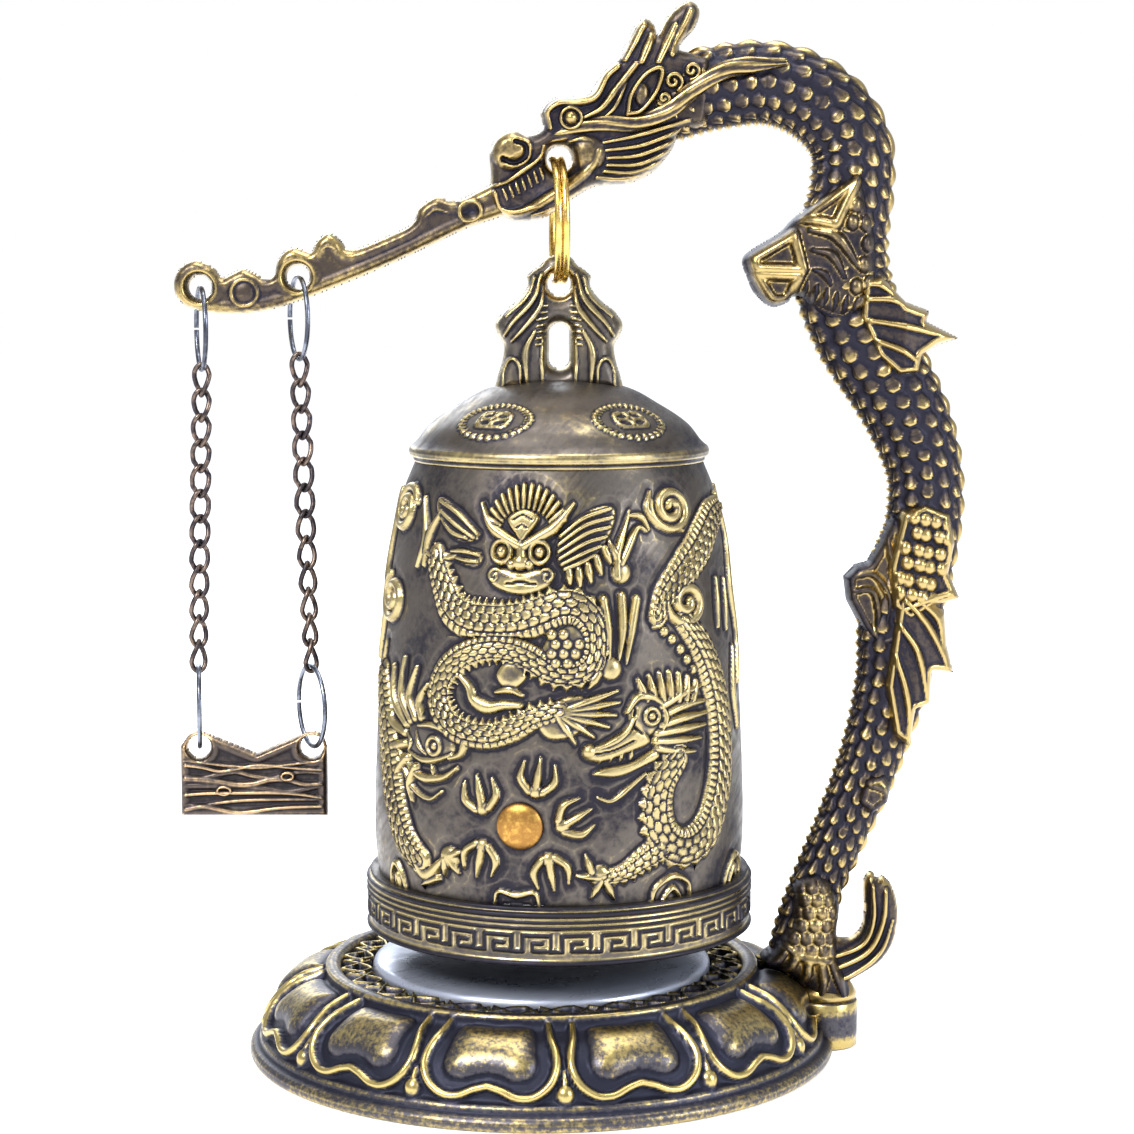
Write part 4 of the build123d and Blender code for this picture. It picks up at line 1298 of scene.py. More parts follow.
build = turned_skin(DOME, BELL_X, 0, 360, 0.25, wreathed_knots, 18.0)
finish_piece(
    "bell_dome", build, "bell", "bell_brass", bell_finish,
    base=0.44, gain=(6.0, 2.0), proud=0.8,
)

# %% [markdown]
# ## The crown
# Two crouching beasts sit back to back, and their tails join in an eye for the ring. The crown is
# flat compared with the bell, so it is a cast plate, puffed up to the thickness of the casting.
# Half of its outline is written down, and the other half is its mirror image.

# %% The outline of the crown
EYE = (BELL_X, 103.4)
EYE_HOLE_R = 1.55
half_crown = [
    (0.0, 107.3), (1.5, 106.9), (2.4, 105.9), (3.4, 105.2), (4.2, 104.4), (4.1, 103.2),
    (5.3, 101.4), (7.4, 99.7), (8.4, 98.1), (8.1, 96.6), (7.3, 95.2), (7.5, 93.4), (8.1, 91.4), (8.7, 89.0),
]
crown_right = smooth_line([(BELL_X + x, z) for x, z in half_crown])
crown_left = smooth_line([(BELL_X - x, z) for x, z in half_crown])[::-1]
CROWN = np.vstack([crown_right, crown_left])
print("the crown is", round(np.ptp(CROWN[:, 0]), 1), "mm wide")


# %% The crown, cast with its beasts
def crown_thickness(where):
    """The eye is thin and the beasts are wide."""
    return np.interp(where[:, 1], [97.0, 102.0, 104.5], [7.2, 5.4, 3.6])


def crown_relief(relief, depth):
    """Manes, backs, haunches and feet of both beasts, and a ring round the eye."""
    for side in (-1, 1):
        def at(x, z):
            return BELL_X + side * x, z

        for line in (
            [at(2.3, 104.6), at(3.4, 101.4), at(6.2, 98.2), at(7.2, 96.6)],
            [at(3.3, 104.2), at(4.3, 101.9), at(7.0, 99.2)],
            [at(1.9, 103.0), at(2.6, 100.2), at(4.8, 97.4), at(6.2, 95.9)],
        ):
            relief.stroke(line, 0.95, 0.75, ends=(0.6, 0.5))
        for step in np.linspace(0, 1, 7):
            x, z = 2.0 + 0.35 * step, 100.6 - 5.0 * step
            relief.stroke([at(x - 0.55, z), at(x + 0.75, z - 0.25)], 0.42, 0.5, smooth=False)
        relief.stroke([at(3.2, 97.2), at(4.4, 94.5), at(4.2, 90.2)], 1.2, 0.7)
        relief.stroke([at(5.1, 89.5), at(5.2, 92.6), at(6.3, 93.6), at(7.3, 92.3), at(7.4, 89.5)],
                      0.65, 0.7)
        relief.stroke([at(2.1, 96.5), at(2.2, 90.0)], 0.9, 0.5, smooth=False)
    relief.ring(EYE, 2.1, 0.9, 0.35)


arch = [((BELL_X, 93.6 + step), 1.35) for step in np.linspace(0, 3.2, 9)]
build = cast_plate(
    CROWN, [(EYE, EYE_HOLE_R)] + arch, cell=0.17, thickness=crown_thickness, edge=1.9,
    draw=crown_relief,
)
finish_piece(
    "bell_crown", build, "bell", "bell_brass", bell_finish,
    base=0.40, gain=(2.6, 1.3), proud=0.22,
)

# %% [markdown]
# ## The lotus base
# Twelve petals curl down from a raised lip to a thin foot. A petal is a cushion inside a raised
# rim shaped like a bracket, with a dark channel between them, and a bead hangs where two petals
# meet. One petal is drawn in its own flat square, across and down, and the turning repeats it.
# Twelve separate petals would leave seams that the casting doesn't have.

# %% The base's profile
PETALS = 12
PETAL_FIRST = -10
PETAL_RADIUS = 34.5
PETAL_DRAWN = 12.0
PETAL_DROP = 0.85
FOOT_EDGE = 2.8
LIP_EDGE = 11.2
EASE = 0.4
PETAL_PROFILE = np.vstack([
    [(36.6, 0.4), (37.2, 0.0), (39.2, 0.0), (39.6, 0.35), (39.6, 1.2), (39.2, 1.7),
     (38.4, 2.0), (38.2, 2.8)],
    smooth_line([(38.2, 3.0), (37.3, 5.4), (35.6, 7.9), (33.2, 9.8), (30.4, 10.9)]),
    [(29.6, 11.2), (29.2, 11.85), (28.6, 12.05), (27.9, 12.0), (27.4, 11.7), (27.1, 10.7), (27.0, 9.4)],
    [(30.0, 8.6), (33.6, 5.6), (36.6, 0.4)],
])
petal_steps = lengths_along(PETAL_PROFILE)
PETAL_FOOT = float(petal_steps[np.argmax(PETAL_PROFILE[:, 1] >= FOOT_EDGE)])
PETAL_HEAD = float(petal_steps[np.argmax(PETAL_PROFILE[:, 1] >= LIP_EDGE)])
print("a petal is", round(PETAL_HEAD - PETAL_FOOT, 1), "mm long from foot to lip")


# %% One petal, twelve times round
def petal_relief(angle, distance, spot):
    """Rim, channel, cushion and bead of every petal."""
    sector = 2 * pi / PETALS
    turn = (angle - radians(PETAL_FIRST) + sector / 2) % sector - sector / 2
    down = (PETAL_HEAD - distance) / (PETAL_HEAD - PETAL_FOOT)
    w = sector / 2 * PETAL_RADIUS
    across = np.abs(turn) / (sector / 2) * w
    relief = Relief(np.column_stack([across, down * PETAL_DRAWN]))
    relief.stroke(
        [(0.80 * w, -0.8), (0.83 * w, 2.5), (0.89 * w, 5.0), (0.90 * w, 7.2), (0.80 * w, 9.3),
         (0.60 * w, 10.7), (0.38 * w, 10.8), (0.18 * w, 10.0), (0.0, 9.5)],
        1.35, 1.15, ends=(0.9, 0.9),
    )
    half_cushion = smooth_line(
        [(0, 0.3), (0.45 * w, 0.3), (0.60 * w, 1.2), (0.63 * w, 4.6), (0.65 * w, 6.8), (0.56 * w, 8.4),
         (0.36 * w, 8.9), (0.16 * w, 8.3), (0, 8.0)]
    )
    cushion = np.vstack([half_cushion, half_cushion[::-1] * (-1, 1)])
    depth, _ = inside_distance(relief.where, np.vstack([cushion, cushion[:1]]))
    pillow = 1.25 * np.clip(1 - (1 - np.clip(depth / 3.2, 0, 1)) ** 2, 0, 1) ** 0.5
    relief.rise = np.maximum(relief.rise, np.where(depth > 0, pillow, 0))
    relief.ball((w, 10.4), 1.15, 1.15, squash=1.2)
    relief.stroke([(w, 10.2), (w, 7.4)], 0.9, 0.9, ends=(1.0, 0.4), smooth=False)
    head = PETAL_HEAD + EASE
    on_petals = (distance > PETAL_FOOT) & (distance < head) & (spot[:, 0] > 29.3)
    near_foot = np.clip((distance - PETAL_FOOT) / (2 * EASE), 0, 1)
    near_head = np.clip((head - distance) / (2 * EASE), 0, 1)
    return np.where(on_petals, (relief.rise - PETAL_DROP) * (near_foot * near_head), 0.0)


build = turned_skin(PETAL_PROFILE, 0, 0, 360, 0.285, petal_relief, 33.0)
finish_piece(
    "lotus_petals", build, "stand", "base_brass", base_finish, replaces=("lotus_base",),
    base=0.44, gain=(3.4, 1.5), proud=0.62,
)

# %% [markdown]
# ## The deck inside the lip
# A ring of fretwork lies in a trench inside the lip, and a plain polished disc mirrors the bell.
# The disc's pale blue-grey colour is a painted reflection of the pale room. The bars are relief on a
# turned skin with a dark ground between them. The disc has no relief, so it comes from the lathe,
# and so does the socket that takes the dragon's peg.

# %% The fretwork
FRET_RADIUS = 25.0
FRETS = 24
TRENCH = np.array([(22.2, 9.4), (27.2, 9.6), (27.2, 10.6), (22.2, 10.6), (22.2, 9.4)])


def fretwork(angle, distance, spot):
    """Crossed bars in the trench, bent like vine stems."""
    relief = Relief(np.column_stack([angle % (2 * pi / FRETS) * FRET_RADIUS, spot[:, 0]]))
    span = 2 * pi / FRETS * FRET_RADIUS
    relief.stroke([(0, 23.4), (0.35 * span, 25.4), (0.62 * span, 26.9), (span, 24.2)], 0.8,
                  1.1, ends=(1, 1))
    relief.stroke([(0, 26.8), (0.30 * span, 24.4), (0.70 * span, 23.4), (span, 26.4)], 0.8,
                  1.1, ends=(1, 1))
    relief.ball((0.5 * span, 25.9), 0.7, 1.0)
    return np.where(spot[:, 1] > 10.5, relief.rise, 0.0)


build = turned_skin(TRENCH, 0, 0, 360, 0.22, fretwork, FRET_RADIUS)
# The low base of 0.10 keeps the whole fretwork dark. This is painted shade of the trench under the bell's
# rim, on top of the blackening of its hollows.
finish_piece(
    "lotus_fretwork", build, "stand", "base_brass", base_finish,
    base=0.10, gain=(2.0, 1.0), proud=0.22,
)

# %% The disc
DISC = [(0, 9.8), (22.3, 9.8), (22.9, 10.2), (22.9, 11.6), (22.7, 12.1), (22.0, 12.5),
        (20.0, 12.9), (15.0, 13.2), (7.0, 13.2), (0, 13.2)]
build = lathe(DISC, 0, 180)
# The disc's pale colour paints the room's reflection into the metal.
finish_piece("lotus_disc", build, "stand", "base_brass", painted_reflection_disc_finish, base=0.5, gain=(1.0, 0.5))

# %% The socket for the dragon's peg
screw_low, screw_high = node_box("foot_screw")
SOCKET_X = (screw_low[0] + screw_high[0]) / 2
SOCKET = [(2.6, 0.2), (3.9, 0.0), (4.2, 0.25), (4.2, 6.2), (3.95, 6.5), (2.62, 6.5), (2.62, 2.6),
          (1.45, 2.6), (1.45, 1.5), (2.6, 1.5)]
build = lathe(SOCKET, SOCKET_X, 72)
bmesh.ops.subdivide_edges(build, edges=build.edges[:], cuts=2, use_grid_fill=True)
finish_piece("lotus_socket", build, "stand", "base_brass", base_finish, base=0.42, gain=(2.0, 0.8))

# %% [markdown]
# ## The dragon
# The dragon is one casting in the real stand. Here it is made as a round scaled body with flat
# castings laid into it: the long lip that serves as the hanging bar, the head, the claw, the tufts
# of fur, the foot and the tail. They ride on the same body, so together they move as one.
# One solid sculpture would be nearer to the founder's way, but flat castings can be drawn, checked
# and mended one at a time.
#
# The body is a snake: each row of its spine gives a place, a width and a thickness. Its scales
# overlap like roof tiles, a scalloped crest runs down the back and beads run under the belly.

# %% The spine of the body
BODY_SPINE = [
    (15.0, 126.4, 9.6, 7.4), (17.0, 127.4, 10.3, 7.8), (23.5, 129.0, 10.2, 8.2), (30.5, 129.4, 10.2, 8.4),
    (36.8, 126.8, 10.4, 8.6), (40.7, 121.8, 10.2, 8.6), (40.9, 115.5, 10.4, 8.6), (39.8, 109.0, 11.4, 8.8),
    (40.2, 102.5, 12.2, 9.0), (43.0, 96.0, 12.2, 9.0), (46.4, 90.2, 11.2, 8.6), (49.4, 84.2, 10.4, 8.2),
    (51.2, 77.8, 9.4, 8.0), (51.0, 71.0, 9.6, 8.0), (49.3, 64.5, 10.8, 8.0), (48.0, 58.0, 10.6, 7.8),
    (47.3, 51.0, 9.4, 7.4), (45.7, 44.0, 8.4, 7.0), (43.4, 37.0, 7.6, 6.8), (40.6, 30.0, 7.0, 6.6),
    (37.8, 23.4, 6.6, 6.4), (35.7, 17.0, 7.0, 6.6), (34.8, 12.0, 7.6, 6.8),
]
SCALE_PITCH = 2.5
SCALE_LANES = 12
CREST_PITCH = 2.9
CREST_HALF_ANGLE = 0.36
BELLY_PITCH = 1.45
BELLY_HALF_ANGLE = 0.42
print("the body's spine has", len(BODY_SPINE), "points, and", SCALE_LANES, "scales go round it")


# %% The scaled body
def scaly(along, angle, width, thick, length):
    """Overlapping scales, a scalloped crest along the back and beads along the belly."""
    lane = angle / (2 * pi) * SCALE_LANES + 0.5
    step = (along / SCALE_PITCH + 0.5 * (np.floor(lane) % 2)) % 1
    across = 2 * (lane % 1) - 1
    lean = 0.10 * np.sin(3.1 * np.floor(lane) + 1.9 * np.floor(along / SCALE_PITCH))
    over = across - lean
    tip = 0.96 - 0.50 * over**2
    slope = np.clip((step - 0.06) / (tip - 0.06), 0, 1)
    past = np.clip((step - tip) / 0.14, 0, 1)
    drop = np.clip(1 - (over / (0.50 + 0.38 * slope)) ** 2, 0, 1) ** 0.5
    worn = 0.85 + 0.15 * np.sin(1.7 * np.floor(lane) + 2.3 * np.floor(along / SCALE_PITCH))
    rise = 0.85 * drop * (0.15 + 0.85 * slope**0.8) * (1 - past) * worn - 0.45
    turn = np.abs((angle + pi) % (2 * pi) - pi)
    crest = np.clip(1 - (turn / CREST_HALF_ANGLE) ** 2, 0, 1)
    scallop = 0.55 + 0.45 * np.abs(np.sin(pi * along / CREST_PITCH))
    back = np.maximum(rise * (1 - crest), 1.15 * crest**0.5 * scallop - 0.45)
    rise = np.where(crest > 0, back, rise)
    under = np.clip(1 - ((pi - turn) / BELLY_HALF_ANGLE) ** 2, 0, 1)
    beads = 0.35 + 0.65 * np.abs(np.sin(pi * along / BELLY_PITCH))
    return np.where(under > 0, 0.8 * under**0.6 * beads - 0.35, rise)


spine = [(x, 0, z, width, thickness) for x, z, width, thickness in BODY_SPINE]
build = snake(spine, 0.25, scaly)
finish_piece(
    "dragon_body", build, "stand", "dragon_brass", dragon_finish, replaces=("dragon_stand",),
    base=0.46, gain=(1.4, 1.1), proud=0.80,
)

# %% [markdown]
# ## The bar and the head
# The dragon's upper lip runs out into a bar with two holes for the striker's rings, and the split
# ring of the bell hangs in its mouth. Both are cast plates. Their holes come from the pivots of the
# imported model, so the rings hang where they turn.

# %% The outline of the bar
LEFT_HOLE = [pivot["striker_fore_aft"][axis] for axis in (0, 2)]
RIGHT_HOLE = [pivot["right_ring_fore_aft"][axis] for axis in (0, 2)]
MOUTH = [pivot["ring_swing"][axis] for axis in (0, 2)]
BAR_HOLE_R = 1.5
BAR = smooth_line([
    (-48.7, 103.3), (-48.1, 105.2), (-46.9, 106.2), (-45.5, 106.5), (-43.6, 105.7), (-42.2, 104.3),
    (-41.4, 104.6), (-39.5, 105.4), (-38.0, 104.9), (-36.6, 104.1), (-35.4, 104.6), (-34.9, 106.4),
    (-34.0, 107.7), (-32.6, 108.2), (-31.2, 107.8), (-30.4, 107.7), (-29.5, 109.3), (-28.0, 110.1),
    (-26.5, 109.2), (-25.1, 107.9), (-20.0, 109.8), (-17.0, 111.4), (-16.1, 113.4), (-13.8, 114.8),
    (-11.4, 114.3), (-8.2, 115.6), (-4.0, 117.6), (-2.0, 116.0), (-4.0, 112.8), (-9.9, 110.6),
    (-16.7, 107.4), (-23.5, 104.4), (-32.0, 101.1), (-37.1, 99.7), (-42.1, 99.4), (-46.2, 100.0),
    (-48.2, 101.3),
], closed=True)
print("holes of the bar at", [round(value, 1) for value in LEFT_HOLE + RIGHT_HOLE])


# %% The bar, cast with its two holes
def bar_relief(relief, depth):
    """Raised rims at the holes, a round boss between them and a dark button near the snout."""
    relief.rise += 0.22 * np.clip(1 - (depth / 0.9 - 1) ** 2, 0, 1)
    for hole in (LEFT_HOLE, RIGHT_HOLE):
        relief.ring(hole, 2.2, 0.8, 0.4)
    relief.ring((-39.2, 102.2), 1.75, 0.6, 0.45)
    relief.ball((-39.2, 102.2), 1.3, 0.4)
    relief.ring((-9.3, 112.9), 1.45, 0.6, 0.45)
    relief.groove([(-9.3, 112.9), (-9.25, 112.9)], 2.2, 0.5, smooth=False)
    relief.stroke([(-29.3, 107.6), (-28.0, 108.4), (-26.6, 107.6)], 0.6, 0.35)
    relief.stroke([(-15.2, 112.2), (-13.8, 113.2), (-12.2, 112.7)], 0.6, 0.35)


bar_holes = [(LEFT_HOLE, BAR_HOLE_R), (RIGHT_HOLE, BAR_HOLE_R)]
build = cast_plate(BAR, bar_holes, cell=0.2, thickness=3.4, edge=1.2, draw=bar_relief)
finish_piece(
    "dragon_bar", build, "stand", "dragon_brass", dragon_finish,
    base=0.50, gain=(2.2, 1.0), proud=0.30,
)

# %% The outline of the head
MOUTH_HOLE_R = 1.65
HEAD = np.vstack([
    smooth_line([
        (-6.8, 115.0), (-6.6, 117.8), (-6.75, 120.6), (-5.8, 122.6), (-3.8, 123.5),
        (-1.7, 122.9), (0.2, 123.8), (0.0, 126.1), (1.8, 127.7), (4.4, 127.9), (6.6, 128.6), (8.1, 131.2),
        (9.9, 132.6), (10.9, 134.2), (12.3, 137.0), (13.6, 138.0), (14.8, 137.3), (15.3, 135.8),
    ]),
    smooth_line([(15.4, 135.9), (16.9, 138.6), (19.3, 140.2), (20.8, 139.2), (20.3, 136.9), (18.2, 134.2),
                 (20.3, 133.4), (22.5, 132.0), (22.0, 124.4), (18.6, 123.3), (17.3, 121.0), (16.3, 119.6),
                 (14.6, 117.9), (11.9, 116.6), (9.4, 116.4), (6.8, 116.0), (3.9, 114.3), (1.0, 112.3),
                 (-1.4, 111.7), (-4.1, 111.8), (-6.0, 113.1)]),
])


def head_thickness(where):
    """Thin at the mouth and the horns, full at the nose, cheek and skull."""
    x, z = where.T
    skull = 7.4 - 2.6 * np.clip((z - 132.0) / 4.0, 0, 1)
    mouth = 2.6 * np.clip(1 - np.hypot((x - 0.2) / 5.6, (z - 117.2) / 3.9) ** 2, 0, 1)
    return skull - mouth - 1.2 * np.clip((1.0 - x) / 5.0, 0, 1)


print("the skull is", head_thickness(np.array([(12.0, 124.0)]))[0].round(1), "mm thick")


# %% The head
def head_relief(relief, depth):
    """Nose, lips, teeth, brow, eye, leaf-shaped ear, curls, beard and the ribs of the horns."""
    relief.ball((-3.9, 121.0), 2.9, 1.1)
    relief.groove([(-4.9, 119.6), (-3.4, 119.2), (-2.0, 120.0), (-2.0, 121.4), (-3.2, 121.9)], 0.9, 0.9)
    relief.stroke([(-6.4, 116.1), (-4.6, 116.6), (-2.4, 118.0), (0.0, 119.8), (0.5, 121.3)], 1.0, 0.9)
    relief.stroke(
        [(-6.2, 115.2), (-5.6, 113.1), (-3.6, 112.5), (-1.4, 113.2), (1.2, 114.8), (4.2, 116.6),
         (6.6, 118.6), (7.6, 120.6)],
        1.5, 1.0, ends=(0.7, 1.0),
    )
    relief.stroke([(4.0, 113.9), (1.4, 112.9), (-1.2, 112.2)], 0.8, 0.6)
    relief.ball((6.3, 120.3), 2.3, 1.0)
    relief.stroke([(3.6, 121.8), (5.8, 122.2), (7.6, 121.4)], 1.0, 0.9)
    for tooth in np.linspace(0, 1, 7):
        x, z = -4.4 + 4.8 * tooth, 114.3 + 2.7 * tooth
        relief.stroke([(x, z), (x - 0.5, z + 1.5)], 0.55, 0.45, smooth=False)
    relief.stroke(
        [(1.3, 123.6), (0.9, 125.7), (2.6, 127.0), (5.4, 127.1), (7.2, 127.8), (8.5, 130.2), (10.0, 131.6)],
        1.4, 1.2, ends=(0.5, 0.8),
    )
    relief.ring((4.0, 124.9), 1.35, 0.6, 0.8)
    relief.ball((4.0, 124.9), 1.0, 1.3)
    relief.stroke([(5.8, 125.0), (8.0, 126.2), (9.9, 128.6), (12.4, 131.8)], 1.2, 0.8, ends=(0.5, 0.9))
    relief.stroke([(8.4, 125.0), (9.8, 126.4), (11.2, 129.4)], 0.8, 0.6)
    leaf = [(11.4, 125.4), (11.9, 128.0), (13.8, 130.6), (15.8, 131.2), (15.2, 128.5), (13.2, 125.9),
            (11.4, 125.4)]
    relief.stroke(leaf, 0.8, 1.15, ends=(1, 1))
    relief.ball((13.2, 127.9), 1.0, 0.8, squash=1.6)
    for curl, radius in (((17.3, 129.6), 1.3), ((16.1, 127.4), 0.95), ((19.7, 131.0), 1.15),
                         ((18.9, 127.9), 0.95)):
        relief.spiral(curl, radius, 1.3, 0.7, 0.9, start=radius * 4)
    for root, bend, tip in (
        ((8.2, 121.7), (13.0, 122.7), (19.4, 124.6)), ((8.6, 120.7), (13.4, 121.4), (18.6, 123.4)),
        ((8.8, 119.7), (13.0, 120.1), (17.8, 122.0)), ((8.7, 118.8), (12.8, 118.9), (16.9, 120.6)),
        ((8.3, 118.0), (12.2, 117.8), (15.8, 119.2)), ((7.4, 117.2), (11.0, 116.9), (14.2, 117.9)),
    ):
        relief.stroke([root, bend, tip], 0.85, 0.75, ends=(0.6, 0.7))
    for root, tip in (((11.0, 132.6), (13.4, 137.0)), ((13.2, 132.2), (14.6, 135.6)),
                      ((15.4, 132.2), (17.6, 136.8)), ((17.2, 133.2), (19.6, 138.8))):
        relief.stroke([root, tip], 1.35, 0.8, ends=(0.8, 0.8), smooth=False)


build = cast_plate(
    HEAD, [(MOUTH, MOUTH_HOLE_R)], cell=0.17, thickness=head_thickness, edge=1.5, draw=head_relief,
)
finish_piece(
    "dragon_head", build, "stand", "dragon_brass", dragon_finish,
    base=0.42, gain=(2.6, 1.2), proud=0.26,
)

# %% [markdown]
# ## The whiskers
# A long whisker sweeps back from the nose over the cheek and neck, one on each side. It stands
# free of the flat head, so it is a thin snake with pointed ends.

# %% The long whisker on both sides
WHISKER = [
    (-0.6, 121.6, 2.3), (2.7, 123.0, 3.1), (7.6, 124.1, 3.6), (12.7, 124.3, 3.9), (16.6, 125.8, 4.2),
    (19.8, 128.4, 4.4), (23.7, 130.9, 4.4), (27.6, 131.7, 4.2), (32.1, 132.1, 3.9),
]


def whisker_ribs(along, angle, width, thick, length):
    """Fine grooves that run along the whisker and slant across it."""
    return 0.13 * np.cos(6 * angle + 0.9 * along)


for name, side in (("front", -1), ("back", 1)):
    spine = [(x, side * y, z, 2.1, 1.5) for x, z, y in WHISKER]
    spine[0] = spine[0][:3] + (0.7, 0.6)
    spine[-1] = spine[-1][:3] + (0.6, 0.5)
    build = snake(spine, 0.22, whisker_ribs)
    finish_piece(
        f"dragon_whisker_{name}", build, "stand", "dragon_brass", dragon_finish,
        base=0.56, gain=(3.0, 1.5),
    )

# %% [markdown]
# ## The claw and the tufts
# The dragon holds a claw at its throat, and tufts of fur mark its shoulder, belly, thigh, flank and
# shin. Each is a cast plate laid through the body, thick at its root and thin at its points, with
# a raised rim and a ridge down every lock of hair.

# %% The outline of the claw
CLAW = smooth_line([
    (42.0, 118.4), (37.6, 115.6), (34.8, 113.2), (33.0, 111.6), (31.4, 110.0), (26.9, 107.0), (27.4, 104.0),
    (28.6, 101.7), (30.6, 100.3), (32.6, 100.8), (34.0, 101.6), (38.0, 98.4), (42.5, 99.4), (44.5, 104.0),
    (44.0, 112.0),
], closed=True)
print("the claw's outline has", len(CLAW), "points")


# %% The claw, cast with its talons
def claw_thickness(where):
    """The claw stands out from the body's side and thins towards its points."""
    return np.interp(where[:, 0], [27, 33, 38, 44], [4.6, 6.6, 9.6, 8.4])


def claw_relief(relief, depth):
    """Two hollow talons with raised rims, a hollow wing above them and a ribbed wrist."""
    for talon in (
        [(28.0, 106.7), (33.2, 109.8), (34.4, 105.2), (28.4, 105.4), (28.0, 106.7)],
        [(28.4, 104.6), (34.0, 104.4), (32.6, 101.2), (30.4, 101.2), (28.4, 104.6)],
        [(34.2, 112.0), (41.4, 117.0), (38.6, 111.0), (34.2, 112.0)],
    ):
        relief.stroke(talon, 1.7, 1.2, ends=(1, 1), smooth=False)
    for rib in np.linspace(0, 1, 6):
        x, z = 35.0 + 6.4 * rib, 102.6 - 2.6 * rib
        relief.stroke([(x, z + 1.2), (x - 0.4, z - 1.0)], 0.85, 0.9, smooth=False)
    relief.stroke([(34.6, 101.2), (38.6, 98.9), (42.2, 99.9)], 0.9, 0.7)
    relief.stroke([(35.2, 110.4), (38.8, 109.4), (41.6, 105.6)], 1.7, 1.1)
    relief.stroke([(35.6, 107.8), (38.2, 107.0), (39.8, 104.2)], 1.4, 0.9)
    relief.stroke([(35.8, 105.2), (37.2, 104.6), (38.0, 103.2)], 1.1, 0.8)
    for scale_x, scale_z in ((41.2, 113.6), (42.6, 111.2), (40.8, 111.4), (42.9, 108.6), (42.4, 105.9),
                             (43.2, 103.4), (41.4, 103.0), (42.2, 100.9)):
        relief.ball((scale_x, scale_z), 0.95, 1.1, squash=1.25)


build = cast_plate(CLAW, [], cell=0.2, thickness=claw_thickness, edge=2.2, draw=claw_relief)
finish_piece(
    "dragon_claw", build, "stand", "dragon_brass", dragon_finish,
    base=0.36, gain=(2.4, 1.2), proud=0.50,
)


# %% A maker of tufts
def tuft(name, outline, locks, left_thick=9.2, right_thick=3.6, extra=None):
    """Pointed locks with a ridge down every one, and a thickness at each side."""
    outline = np.array(outline, float)
    outer = outline[:, 0].max()
    inner = outline[:, 0].min()

    def tuft_thickness(where):
        share = np.clip((where[:, 0] - inner) / (outer - inner), 0, 1)
        return np.interp(share, [0.0, 0.45, 1.0], [left_thick, left_thick, right_thick])

    def tuft_relief(relief, depth):
        relief.rise += 0.80 * np.clip(1 - (depth / 0.7 - 1) ** 2, 0, 1)
        for lock in locks:
            relief.stroke(lock, 1.1, 0.95, ends=(0.8, 0.4))
        if extra:
            extra(relief)

    build = cast_plate(outline, [], cell=0.22, thickness=tuft_thickness, edge=1.6, draw=tuft_relief)
    finish_piece(
        name, build, "stand", "dragon_brass", dragon_finish,
        base=0.40, gain=(2.4, 1.2), proud=0.55,
    )


# %% Shoulder, thigh, belly, flank and shin
tuft(
    "dragon_tuft_shoulder",
    [(42.0, 104.5), (45.0, 104.6), (48.4, 101.0), (51.6, 99.8), (51.2, 98.4), (55.6, 96.2),
     (52.6, 95.2), (50.6, 93.8), (50.2, 91.4), (47.0, 91.0), (44.0, 93.6), (41.6, 99.0)],
    [[(42.6, 101.4), (46.6, 101.2), (51.2, 99.4)], [(43.2, 98.6), (48.0, 97.8), (54.8, 96.2)],
     [(44.0, 96.0), (47.6, 94.6), (50.4, 92.6)], [(42.4, 103.4), (44.8, 103.2), (47.4, 101.2)]],
)


def thigh_scales(relief):
    """Rows of scales over the thigh."""
    for row in range(6):
        for column in range(4):
            x = 49.4 + 1.5 * column - 0.5 * row + 0.75 * (row % 2) + 0.2 * sin(2.0 * row + 3.0 * column)
            z = 72.6 - 2.0 * row - 0.3 * column
            relief.ball((x, z), 0.95, 0.9, squash=1.1)


tuft(
    "dragon_thigh",
    [(47.6, 73.6), (51.0, 74.8), (54.6, 73.2), (55.4, 69.0), (54.6, 65.0), (56.2, 61.4),
     (52.4, 60.4), (49.0, 58.4), (46.4, 60.4), (45.8, 66.0)],
    [[(55.0, 62.6), (51.8, 61.8), (48.4, 60.4)], [(54.0, 71.6), (54.4, 67.6), (53.6, 64.6)]],
    left_thick=9.2, right_thick=6.6, extra=thigh_scales,
)
tuft(
    "dragon_tuft_belly",
    [(48.0, 72.4), (46.6, 73.0), (45.0, 69.0), (43.6, 66.4), (42.0, 66.0), (40.5, 64.4),
     (40.9, 61.2), (43.0, 57.2), (45.2, 54.6), (48.6, 55.6), (50.0, 62.0)],
    [[(41.6, 64.6), (44.4, 64.8), (46.4, 61.8), (46.0, 58.0)],
     [(41.9, 62.6), (44.2, 62.6), (45.0, 59.8), (44.8, 56.6)], [(45.8, 70.8), (46.6, 67.2), (48.2, 63.6)],
     [(47.4, 71.6), (48.6, 68.0), (49.0, 64.4)]],
    left_thick=5.0, right_thick=8.6,
)
tuft(
    "dragon_tuft_flank",
    [(47.4, 63.6), (50.6, 63.2), (54.2, 59.8), (54.6, 55.0), (55.6, 51.2), (52.6, 51.6),
     (52.4, 47.2), (50.4, 46.6), (49.6, 41.2), (46.8, 43.2), (45.6, 50.0)],
    [[(48.4, 61.6), (51.6, 58.0), (54.8, 52.0)], [(47.6, 58.4), (50.2, 54.4), (51.6, 48.2)],
     [(47.0, 54.4), (48.6, 49.4), (49.4, 43.0)], [(50.2, 61.6), (52.8, 59.2), (53.8, 56.2)]],
)
tuft(
    "dragon_tuft_shin",
    [(43.2, 37.6), (46.2, 38.4), (47.4, 36.4), (46.9, 33.6), (44.4, 32.0), (42.0, 34.0)],
    [[(43.6, 36.6), (45.6, 36.0), (46.6, 34.6)]],
    left_thick=7.4, right_thick=4.0,
)

# %% [markdown]
# ## The tail, the foot and the peg
# The tail curls up behind the foot into a small hook. The foot spreads on the lotus with scales, a
# collar and short locks of fur. Under it a turned peg goes down into the socket, and a screw from
# below holds it there.

